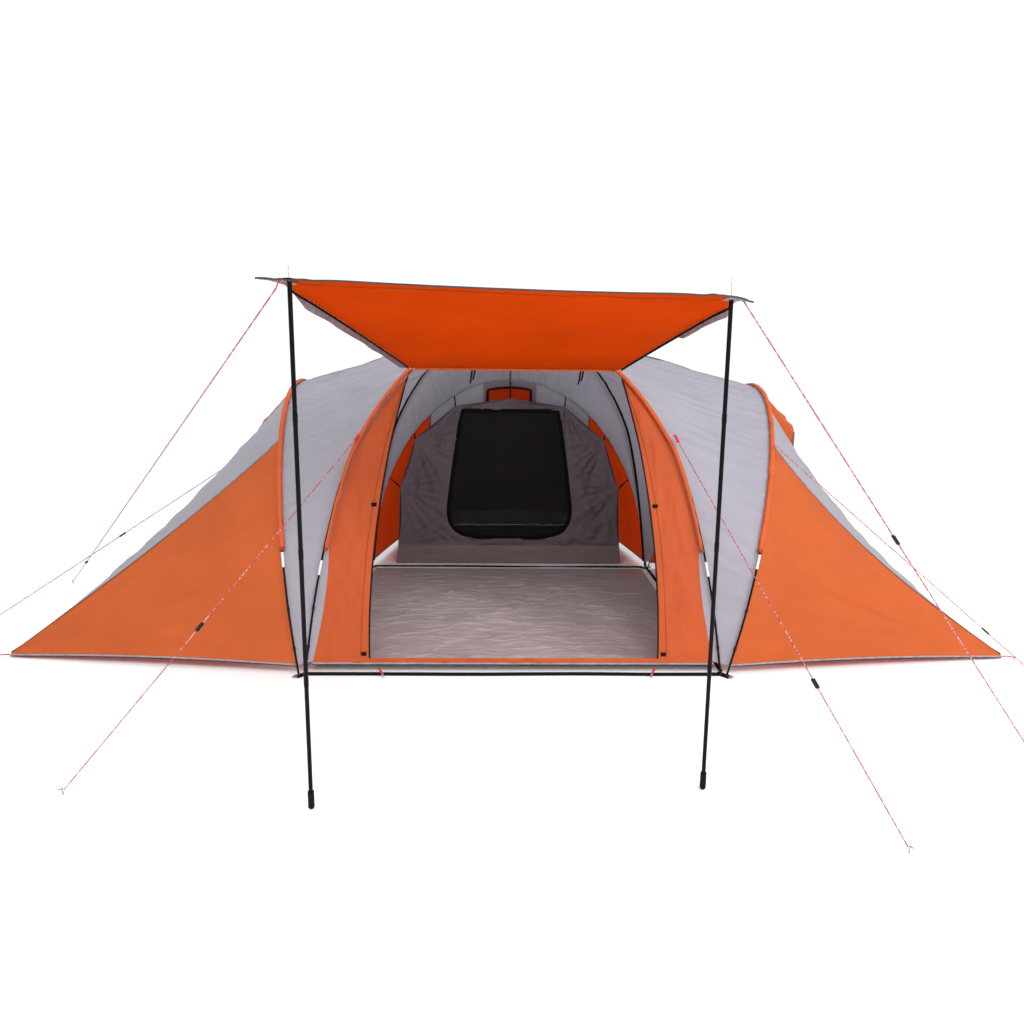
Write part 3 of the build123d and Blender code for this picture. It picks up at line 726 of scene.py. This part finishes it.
def hood(side, end, c):
    """The hood over a vent: cloth from the top of the hoop, lifted off the roof at its free end."""
    tall = HOOD_LIFT[side]
    rows = np.flatnonzero((c > VENT_ACROSS[0] - 0.03) & (c < VENT_ACROSS[1] + 0.03))
    under = end[rows[0]:rows[-1] + 1]
    out_axis = 1 if side == "rear" else 0
    reach = np.abs(under - place(side, HOOP_BASE + LEAN[side], 0, 0))[..., out_axis]
    under = under[:, 1:np.argmax(reach[len(reach) // 2] > HOOD_REACH) + 1]
    s = np.linspace(-1, 1, under.shape[0])[:, None]
    r = np.linspace(0, 1, under.shape[1])[None, :]
    lift = 0.006 + tall * r ** 0.8 * (1 - 0.25 * s ** 4)
    bow = place(side, 0.16 * tall, 0, 0) * (r * (1 - s * s))[..., None]
    roof = under + UP * lift[..., None] + bow
    flanks = [mix(roof[edge][:, None], under[edge][:, None] + UP * 0.002, np.linspace(0, 1, 6)[None, :, None])
              for edge in (0, -1)]
    lip = roof[:, -1]
    foot = lip - UP * 0.45 * tall + place(side, -0.012, 0, 0)
    front = mix(lip[:, None], foot[:, None], np.linspace(0, 1, 5)[None, :, None])
    below = under.reshape(-1, 3).mean(axis=0) - UP * 0.3
    cloths = [facing(grid, below) for grid in (roof, *flanks, front)]
    piece(f"vent_hood_{side}", cloths, pod_cloth_painted_light_and_shade, "fly_orange", *shared(side, "vent_hoods"))
    outward = unit(place(side, 1, 0, 0.2))
    rims = [tube_grid(foot, 0.0040, 0.0090, UP, 10)]
    rims += [tube_grid(straight(roof[edge, -1], under[edge, -1], 12), 0.0095, 0.0040, outward, 10)
             for edge in (0, -1)]
    piece(f"vent_rim_{side}", rims, gray_binding, "binding_gray")


# ---- hems along the ground
def hem_band(path, low, high, bulge):
    """A folded binding hanging on a panel's lower edge, between two heights measured from that edge."""
    outward = unit(np.cross(unit(np.gradient(path, axis=0)), UP))
    middle = len(path) // 2
    if np.dot(outward[middle], path[middle]) < 0:
        outward = -outward
    rows = [path + UP * mix(low, high, share) + outward * (0.001 + bulge * math.sin(PI * share))
            for share in np.linspace(0, 1, 5)]
    return np.stack(rows, axis=1)


def hems():
    lines = [pod_side_grid(side, sign)[0] for side in SIDES for sign in (1, -1)]
    for side in SIDES:
        corners = [place(side, POD_REACH, s * (POD_CORNER - POD_INSET), POD_HEM + POD_INSET) for s in (1, -1)]
        lines.append(straight(*corners, 60))
    lines.append(sill_grid()[0])
    pale = [hem_band(line, -0.005, 0.006, 0.0030) for line in lines]
    dark = [hem_band(line, -0.009, -0.005, 0.0026) for line in lines]
    piece("hem_tape", pale, gray_binding, "binding_gray", "hem_bindings")
    piece("hem_edge", dark, dark_binding, "webbing_black")


# ---- cabins
CABIN_BACK = 0.004          # the canopy starts this far behind the front wall
TUB_FOOT = 0.003
TUB_FACE = CABIN_FACE + 0.002
DOOR_CENTRE = np.array([0, 0.74])


def both_halves(half):
    return np.concatenate([half, (half * [-1, 1])[::-1][1:]])


def wall_outline(shape, dip):
    """One half of a cabin's outline from the floor to its ridge, hollowed between its ties."""
    points = [shape[0]]
    for a, b in zip(shape, shape[1:]):
        line = np.linspace(0, 1, 13)[1:, None]
        inward = unit(np.array([-(b - a)[1], (b - a)[0]]))
        depth = dip * np.linalg.norm(b - a) * 4 * line * (1 - line)
        points += list(mix(a[None], b[None], line) + inward * depth)
    return np.array(points)


def door_outline(grow):
    """The D-shaped door, from the middle of its foot round to the middle again, in (along, up)."""
    centre = np.array([0, 0.76])
    half = centre + (MESH_DOOR - centre) * (1 + grow / 0.5)
    return np.concatenate([half, (half * [-1, 1])[::-1]])


def by_angle(loop, count):
    """An outline's points at even angles about a point inside it."""
    centre = np.array([0, 0.72])
    loop = resample(loop, 900)
    angle = np.arctan2(loop[:, 0] - centre[0], -(loop[:, 1] - centre[1]))
    order = np.argsort(angle)
    at = np.linspace(-PI, PI, count)
    return np.stack([np.interp(at, angle[order], loop[order, k], period=2 * PI) for k in (0, 1)], -1)


def cabin_wall(side):
    outer = both_halves(wall_outline(WALL_SHAPE[1:], 0.035))
    outer = np.concatenate([outer, resample([outer[-1], outer[0]], 40)[1:]])
    t = np.linspace(0, 1, 40)[None, :, None]
    flat = mix(by_angle(door_outline(0.002), 361)[:, None], by_angle(outer, 361)[:, None], t)
    x, z = flat[..., 0], flat[..., 1]
    ripple = 0.008 * wander(120, x, z, 4.5, 3.0) + 0.014 * folds(121, x, z, 3.5, 2.5)
    for half, up in WALL_SHAPE[1:-1]:
        for sign in (-1, 1):
            radius = np.hypot(x - sign * half, z - up)
            angle = np.arctan2(z - up, x - sign * half)
            rays = np.cos(17 * angle + half * 9) * np.cos(9 * angle + sign)
            ripple = ripple + 0.026 * rays * np.clip(radius / 0.15, 0, 1) * np.exp(-radius / 0.40)
    grid = place(side, CABIN_FACE - ripple * pinned(t[..., 0], 0.9), x, z)
    piece(f"cabin_front_{side}", [grid], cabin_cloth, "cabin_gray", f"cabin_wall_{side}",
          held="stretched", rests_on=[f"pole_hoop_{side}"])


def mesh_door(side):
    body = f"mesh_door_{side}"
    outline = resample(door_outline(-0.002), 161)
    t = np.linspace(0.001, 1, 30)[None, :]
    flat = mix(DOOR_CENTRE, outline[:, None], t[..., None])
    x, z = flat[..., 0], flat[..., 1]
    push = 0.018 * (1 - t ** 2) + 0.004 * wander(130, x, z, 2, 1.2) * (1 - t)
    grid = place(side, CABIN_FACE - push, x, z)
    piece(f"door_net_{side}", [grid], insect_mesh, "cabin_mesh", body, body=body,
          held="hung", rests_on=[f"cabin_front_{side}"])
    line = resample(grid[:, -1], 140)
    n = place(side, -1, 0, 0)
    across = unit(np.cross(unit(np.gradient(line, axis=0)), n))
    tape = ribbon_grid(line, across, n, 0.034, lift=0.003, crown=0.001)
    coil = tube_grid(line + n * 0.006, 0.004, 0.0025, n, 8)
    piece(f"door_zip_{side}", [tape, coil], zip_tape, "zip_black", body=body)


def cabin_ties(side):
    """Elastic ties from the front wall's corners out to the hoop, each with a barrel toggle."""
    ties, barrels = [], []
    n = place(side, -1, 0, 0)
    for half, up in WALL_SHAPE[2:]:
        for sign in ((1, -1) if half else (1,)):
            angle = math.degrees(math.atan2(up / HOOP_HEIGHT, half / HOOP_HALF))
            hook = hoop(side, angle if sign > 0 else 180 - angle, DROP + 0.006)
            start = place(side, CABIN_FACE - 0.004, sign * half, up)
            ties.append(tube_grid(straight(start, hook, 12), 0.0050, 0.0014, n, 8))
            along = unit(hook - start)
            size = 0.0065 + 0.0012 * np.sin(np.linspace(0, PI, 8))
            grip = straight(start + along * 0.030, start + along * 0.058, 8)
            barrels.append(tube_grid(grip, size, size, n, 12))
    piece(f"cabin_ties_{side}", ties, black_webbing, "elastic_black", *shared(side, "cabin_toggles"))
    piece(f"cabin_barrels_{side}", barrels, black_plastic, "elastic_black")


def cabin_roof(side):
    wall, end = both_halves(WALL_SHAPE[1:]), both_halves(END_SHAPE[1:])
    count = 121
    share, steps = np.linspace(0, 1, len(wall)), path_length(wall)
    at = np.interp(np.linspace(0, steps[-1], count), steps, share)
    end_line = np.stack([np.interp(at, share, end[:, k]) for k in (0, 1)], -1)
    t = np.linspace(0, 1, 60)
    flat = mix(resample(wall, count)[:, None], end_line[:, None], t[None, :, None])
    grid = place(side, mix(CABIN_FACE + CABIN_BACK, CABIN_END, t)[None, :], flat[..., 0], flat[..., 1])
    c, s = np.meshgrid(np.linspace(0, 1, count), t, indexing="ij")
    relief = -0.03 * pinned(s, 1) * pinned(c) + 0.005 * wander(140, c * 3, s * 1.4, 2, 2) * pinned(s, 0.5)
    grid = grid + normals(grid, place(side, POD_MIDDLE, 0, 0.2)) * relief[..., None]
    piece(f"cabin_roof_{side}", [grid], cabin_cloth, "cabin_gray", *shared(side, "cabin_canopies"),
          held="hung", rests_on=[f"pole_hoop_{side}"])


def tub_sheet(edge_a, edge_b, shape, seed, wave, centre):
    """A sheet between two straight edges, each given by its ends, with low waves in it."""
    u, v = np.meshgrid(*(np.linspace(0, 1, count) for count in shape), indexing="ij")
    flat = mix(mix(*edge_a, u[..., None]), mix(*edge_b, u[..., None]), v[..., None])
    relief = wave * np.abs(wander(seed, u * 2, v * 2, 2.5, 2.5)) * pinned(u, 0.4) * pinned(v, 0.4)
    return flat + normals(flat, centre) * relief[..., None]


def cabin_tub(side):
    """The floor tray: its bottom, then its front wall, its two long walls and its end wall."""
    def corners(out, half, up):
        return [place(side, out, s * half, up) for s in (1, -1)]

    wall_foot = corners(TUB_FACE, WALL_SHAPE[0, 0], TUB_FOOT)
    wall_lip = corners(TUB_FACE, *WALL_SHAPE[1])
    end_foot = corners(CABIN_END, END_SHAPE[0, 0], TUB_FOOT)
    end_lip = corners(CABIN_END, *END_SHAPE[1])
    hub = place(side, POD_MIDDLE, 0, 0.2)
    feet, lips = list(zip(wall_foot, end_foot)), list(zip(wall_lip, end_lip))
    sheets = [tub_sheet(*feet, (50, 60), 150, 0.006, hub - UP * 5),
              tub_sheet(wall_foot, wall_lip, (90, 8), 151, 0.006, hub),
              tub_sheet(feet[0], lips[0], (50, 8), 152, 0.004, hub),
              tub_sheet(feet[1], lips[1], (50, 8), 153, 0.004, hub),
              tub_sheet(end_foot, end_lip, (50, 8), 154, 0.004, hub)]
    piece(f"cabin_tub_{side}", sheets, tub_cloth, "floor_taupe", *shared(side, "cabin_trays"),
          held="laid", rests_on=[f"cabin_front_{side}"])


def groundsheet():
    at = np.linspace(-GROUNDSHEET_HALF, GROUNDSHEET_HALF, 260)
    x, y = np.meshgrid(at, at, indexing="ij")
    edge = 1
    for v in (x, y):
        edge = edge * pinned((v + GROUNDSHEET_HALF) / (2 * GROUNDSHEET_HALF), 0.3)
    lift = 0.0030 * np.abs(wander(160, x, y, 1.6, 1.6)) + 0.007 * folds(161, x, y, 0.8, 2.2)
    lift += 0.007 * folds(162, x + 0.6 * y, y - 0.25 * x, 1.6, 4.5)
    lift += 0.0016 * np.abs(wander(163, x + 0.5 * y, y - 0.2 * x, 2.5, 8))
    front = FRONT_RISE * np.clip((FRONT_BEND - y) / (FRONT_BEND + GROUNDSHEET_HALF), 0, 1)
    grid = np.stack([x, y, 0.003 + lift * edge + front], -1)
    piece("ground_cloth", [grid], floor_cloth, "floor_taupe", "groundsheet",
          held="laid", rests_on=["ground_straps"])


# ---- webbing, loops and tabs
def strap(a, b, width, tilt, seed):
    """A flat ground strap between two points, tipped up a little and not quite straight."""
    path = straight(a, b, 70)
    along = unit(path[-1] - path[0])
    side = np.array([along[1], -along[0], 0.0])
    length = np.linalg.norm(path - path[0], axis=-1)
    share = length / length[-1]
    turn = (tilt + 0.25 * wander(seed, length, 0, 0.8, 0) * pinned(share, 0.5))[:, None]
    drift = 0.004 * wander(seed + 1, length, 0, 0.8, 0) * pinned(share, 1)
    across = side * np.cos(turn) + UP * np.sin(turn)
    normal = UP * np.cos(turn) - side * np.sin(turn)
    return band_grid(path + side * drift[:, None], across, normal, width, 0.0022, (-1, -0.5, 0, 0.5, 1))


def ground_straps():
    reach, edge, up = STRAP_LINE - 0.03, STRAP_LINE, 0.009
    strips = []
    for i, s in enumerate((-1, 1)):
        strips.append(strap((-reach, s * edge, up), (reach, s * edge, up), 0.019, 0.95 * s, 170 + i))
        strips.append(strap((s * edge, -reach, up), (s * edge, reach, up), 0.019, 0.95, 175 + i))
        for t in (-1, 1):
            corner = np.array([s * edge, t * edge, 0.004])
            inward = np.array([-s, -t, 0]) * 0.03
            strips.append(strap(corner - inward, corner + inward, 0.045, 0.03, 180 + i))
    piece("ground_straps", strips, black_webbing, "webbing_black", "ground_webbing")


def loop_strip(a, b, lift, width):
    """A folded webbing loop between two points, with its middle bowed up."""
    path = straight(a, b, 18)
    side = unit(np.cross(unit(path[-1] - path[0]), UP))
    bowed = path + UP * (lift * np.sin(np.linspace(0, PI, 18)))[:, None]
    return band_grid(bowed, side, UP, width, 0.0024)


def peg_loops():
    strips = []
    for side in SIDES:
        for sign in (-1, 1):
            corner = place(side, POD_REACH + 0.004, sign * POD_CORNER, 0.018)
            outward = unit(place(side, 1, sign * 0.35, 0))
            strips.append(loop_strip(corner, corner + outward * 0.068, 0.004, 0.014))
    for sx, x in ((-1, -0.735), (1, 0.770)):
        strips.append(loop_strip((x, -1.118, 0.030), (x - sx * 0.030, -1.176, 0.018), 0.006, 0.012))
    for name, (top, peg) in GUYS.items():
        if not name.startswith("awning"):
            toward = unit(np.array([*peg, CORD_LIFT]) - top)
            strips.append(loop_strip(top - toward * 0.045, top + toward * 0.020, 0.005, 0.018))
    piece("red_loops", strips, red_loop, "cord_red", "peg_loops")


def door_tabs():
    """Short black tabs on the doorway's slanted edges."""
    strips = []
    for up, half in DOOR_TABS:
        y = -dome_half(up) - 0.003
        for sx in (-1, 1):
            path = straight((sx * (half + 0.002), y, up), (sx * (half + 0.030), y, up), 12)
            path[:, 1] -= 0.005 * np.sin(np.linspace(0, PI, 12))
            strips.append(band_grid(path, UP, np.array([0, -1, 0]), 0.020, 0.002))
    piece("door_edge_tabs", strips, black_webbing, "webbing_black", "door_tabs")


def strap_down(a, b, width):
    """A short hanging strap with a little curl."""
    path = straight(a, b, 14)
    path[:, 1] += 0.004 * np.sin(np.linspace(0, 2 * PI, 14))
    return band_grid(path, np.array([1, 0, 0]), np.array([0, -1, 0]), width, 0.0016)


def tie_backs():
    """Two toggles that hold the rolled door, and the lamp strap at the middle of the roof."""
    strips = []
    for x in (-0.245, 0.375):
        strips.append(strap_down((x, -0.605, 1.622), (x - 0.012, -0.595, 1.547), 0.010))
        strips.append(strap_down((x + 0.016, -0.603, 1.622), (x + 0.004, -0.593, 1.567), 0.010))
    strips.append(strap_down((0, 0.62, 1.76), (0, 0.80, 1.66), 0.022))
    piece("tie_backs", strips, black_webbing, "webbing_black")


# ---- awning
AWNING_ROWS, AWNING_COLUMNS = 110, 161      # across, and out from the hinge
ZIP_COLUMNS = np.s_[3:150]
STRIP_COLUMNS = {"left": (4, 148), "right": (96, 148)}
STRIP_DEPTH = {"left": 0.026, "right": 0.020}
STRIP_SEED = {"left": 210, "right": 211}
WING = 6                    # the gray wing at each tip is this many rows and columns wide


def on_awning(x, out, lift=0.0):
    """Points of the awning from across and slope distances; lift is square to it."""
    x, out, lift = np.broadcast_arrays(x, out, lift)
    y = HINGE[1] - out * math.cos(AWNING_RISE) + lift * math.sin(AWNING_RISE)
    z = HINGE[2] + out * math.sin(AWNING_RISE) + lift * math.cos(AWNING_RISE)
    return np.stack([x, y, z], -1).astype(float)


def prop_point(side):
    """Where an awning pole's spike passes through the flap: across, and out along its slope."""
    across, y = PROP_HEAD[side]
    return across, (HINGE[1] - y) / math.cos(AWNING_RISE)


def awning_side(t, side, sign):
    """X of a side edge: straight to the shoulder beside the grommet, then out to the tip."""
    shoulder, tip = AWNING_SHOULDERS[side], AWNING_TIPS[side]
    turn = shoulder[1] / tip[1]
    inner = mix(sign * AWNING_ROOT, shoulder[0], t / turn) - sign * 0.008 * np.sin(PI * np.clip(t / turn, 0, 1))
    return np.where(t < turn, inner, mix(shoulder[0], tip[0], (t - turn) / (1 - turn)))


def awning_grid():
    s, t = np.meshgrid(np.linspace(0, 1, AWNING_ROWS), np.linspace(0, 1, AWNING_COLUMNS), indexing="ij")
    left, right = (awning_side(t, side, sign) for side, sign in AWNING_SIDES)
    x = mix(left, right, s)
    tips = mix(AWNING_TIPS["left"][1], AWNING_TIPS["right"][1], s)
    out = mix(0.004, tips, t) - 0.028 * np.sin(PI * s) * t ** 2
    waves = 0.0035 * wander(200, x, out, 2.2, 1.2) + 0.0012 * wander(201, x, out, 12, 6)
    waves = waves + 0.004 * folds(202, x, out, 1.0, 3.0)
    lift = waves * pinned(s, 0.5) * pinned(t, 0.4) - 0.020 * pinned(s, 1) * np.sin(PI * t)
    for side, phase in (("left", 0), ("right", 3)):
        across, along = prop_point(side)
        radius, angle = np.hypot(x - across, out - along), np.arctan2(out - along, x - across)
        rays = np.cos(11 * angle + phase) * np.cos(7 * angle + 1)
        lift = lift + 0.007 * rays * np.clip(radius / 0.12, 0, 1) * np.exp(-radius / 0.35)
    droop = 0.020 * np.clip((t - 0.95) / 0.05, 0, 1) ** 2 * np.clip((s - 0.95) / 0.05, 0, 1)
    return on_awning(x, out, lift - droop - 0.0015)


def awning_wings(grid, n):
    """Gray pieces sewn over both faces at the tips, in rows counted from each side edge."""
    wings = []
    last = AWNING_COLUMNS - 1
    for row, step in ((0, 1), (AWNING_ROWS - 1, -1)):
        for face in (1, -1):
            rows = []
            for k in range(WING):
                at = row + step * k, np.linspace(last - WING - 1 + k // 2, last, 4).astype(int)
                rows.append(grid[at] + face * n[at] * 0.0015)
            wings.append(np.stack(rows, axis=0))
    return wings


def awning_strip(path, side, inward):
    """The binding that hangs from a side edge, deepest in its middle."""
    first, end = STRIP_COLUMNS[side]
    length = np.linalg.norm(path - path[0], axis=-1)[first:end]
    share = (length - length[0]) / (length[-1] - length[0])
    depth = STRIP_DEPTH[side] * np.clip(share * 8, 0.15, 1) * np.clip((1 - share) * 14, 0.1, 1)
    wave = 0.003 * wander(STRIP_SEED[side], length, 0, 2.5, 0)
    levels = [path[first:end] + np.stack([inward * wave * k, 0 * wave, -0.011 - depth * k], -1)
              for k in np.linspace(0, 1, 5)]
    return np.stack(levels, axis=1)


def awning():
    grid = awning_grid()
    n = normals(grid, (0, -1.5, 0))
    # The awning's cloth takes the darker awning orange, which is painted shade.
    piece("awning_cloth", [grid], awning_painted_shade_cloth, "fly_orange", "awning_flap", body="awning",
          held="stretched", rests_on=["prop_left_tube", "prop_right_tube"])
    seams = seams_on(grid, n, 0.006, columns=[-6]) + seams_on(grid, n, 0.008, columns=[3])
    piece("awning_seams", seams, seam_orange, "fly_orange", body="awning")
    rim = tube_grid(grid[:, -1], 0.0022, 0.0034, n[:, -1], 10)
    piece("awning_rim", [rim], rim_binding, "binding_gray", body="awning")
    piece("awning_tip_wings", awning_wings(grid, n), gray_cloth, "fly_gray", body="awning")
    strips, zips, patches = [], [], []
    turn = np.linspace(0, 2 * PI, 33)
    for row, (side, sign) in zip((0, -1), AWNING_SIDES):
        strips.append(awning_strip(grid[row], side, -sign))
        zips.append(ribbon_grid(grid[row][ZIP_COLUMNS] - UP * 0.006, UP, np.array([sign, 0, 0]), 0.013, 0.001))
        across, along = prop_point(side)
        rings = [on_awning(across + r * np.cos(turn), along + r * np.sin(turn), 0.0015)
                 for r in (0.0145, 0.022, 0.030)]
        patches.append(np.stack(rings, axis=1))
    piece("awning_side_strips", strips, gray_binding, "binding_gray", "awning_bindings", body="awning")
    piece("awning_zips", zips, zip_tape, "zip_black", body="awning")
    piece("awning_corner_patches", patches, dark_binding, "webbing_black", body="awning")


def awning_loops():
    """Red webbing loops that join the awning's guys to the flap's tips."""
    strips = []
    for side, _ in AWNING_SIDES:
        across, along = prop_point(side)
        held = on_awning(across * 1.03, along + 0.02, -0.004)
        strips.append(loop_strip(held, GUYS[f"awning_{side}"][0], 0.004, 0.018))
    piece("awning_loops", strips, red_loop, "cord_red", body="awning")


# ---- guys
def cord_curve(name, points):
    curve = bpy.data.curves.new(name, "CURVE")
    curve.dimensions = "3D"
    curve.bevel_depth = CORD / 2
    curve.bevel_resolution = 3
    curve.use_fill_caps = True
    spline = curve.splines.new("NURBS")
    spline.points.add(len(points) - 1)
    for point, at in zip(spline.points, points):
        point.co = (*at, 1)
    spline.use_endpoint_u = True
    spline.order_u = 3
    curve.materials.append(red_cord)
    made = bpy.data.objects.new(name, curve)
    bpy.context.scene.collection.objects.link(made)
    return made


def guys():
    for name, (top, peg) in GUYS.items():
        top, peg = Vector(top), Vector((*peg, CORD_LIFT))
        low = peg + (top - peg).normalized() * CORD_END
        made = cord_curve(f"cord_{name}", [top, (top + low) / 2, low])
        settle(made, [f"guy_{name}"], f"guy_{name}" if name.startswith("awning") else "tent")
        tuple(top)


# ---- build
fly_roof()
fly_front()
inner_pole_shade_strips()
pole_sleeves()
pods()
hems()
for side in SIDES:
    cabin_wall(side)
    mesh_door(side)
    cabin_ties(side)
    cabin_roof(side)
    cabin_tub(side)
ground_straps()
groundsheet()
peg_loops()
door_tabs()
tie_backs()
awning()
awning_loops()
guys()


# ---- floor, light and camera
def floor():
    half = 60
    paint = Recipe("floor_paint")
    paint.done(paint.shader((0.95, 0.95, 0.95, 1), 0.1, Roughness=0.9))
    corners = [(-half, -half, 0), (half, -half, 0), (half, half, 0), (-half, half, 0)]
    mesh_object("floor", corners, [(0, 1, 2, 3)], paint.material)


def lamp(name, at, towards, size, power):
    light = bpy.data.lights.new(name, "AREA")
    light.shape = "RECTANGLE"
    light.size, light.size_y = size
    light.energy = power
    made = bpy.data.objects.new(name, light)
    made.location = at
    made.rotation_euler = (Vector(towards) - Vector(at)).to_track_quat("-Z", "Y").to_euler()
    made.visible_camera = False
    bpy.context.scene.collection.objects.link(made)


def lights():
    world = bpy.data.worlds.new("studio")
    world.use_nodes = True
    background = world.node_tree.nodes["Background"]
    background.inputs["Color"].default_value = (1, 1, 1, 1)
    background.inputs["Strength"].default_value = 1.06
    bpy.context.scene.world = world
    lamp("key", (0.3, -7.5, 6.5), (0, -0.5, 0.8), (3, 3), 330)
    lamp("fill", (5.5, -6.0, 4.5), (0, 0, 0.8), (3, 3), 260)
    lamp("inside", (-0.28, -0.60, 1.42), (0.0, 0.95, 0.25), (0.5, 0.3), 11)


def camera():
    """An eye-height view into the doorway, looking slightly down."""
    at = Vector((-0.0904, -5.1056, 1.659))
    yaw, pitch, roll = (math.radians(a) for a in (1.383, 10.875, 0.606))
    forward = Vector((math.sin(yaw) * math.cos(pitch), math.cos(yaw) * math.cos(pitch), -math.sin(pitch)))
    level = forward.cross(Vector((0, 0, 1))).normalized()
    upright = level.cross(forward)
    right = level * math.cos(roll) + upright * math.sin(roll)
    up = upright * math.cos(roll) - level * math.sin(roll)
    data = bpy.data.cameras.new("camera")
    data.lens = 27.285
    data.sensor_width = 36
    data.shift_x = -0.0048
    data.shift_y = 0.0011
    made = bpy.data.objects.new("camera", data)
    made.matrix_world = Matrix.Translation(at) @ Matrix((right, up, -forward)).transposed().to_4x4()
    bpy.context.scene.collection.objects.link(made)
    bpy.context.scene.camera = made


floor()
lights()
camera()
bpy.context.scene.view_settings.view_transform = "Standard"

bpy.context.view_layer.update()
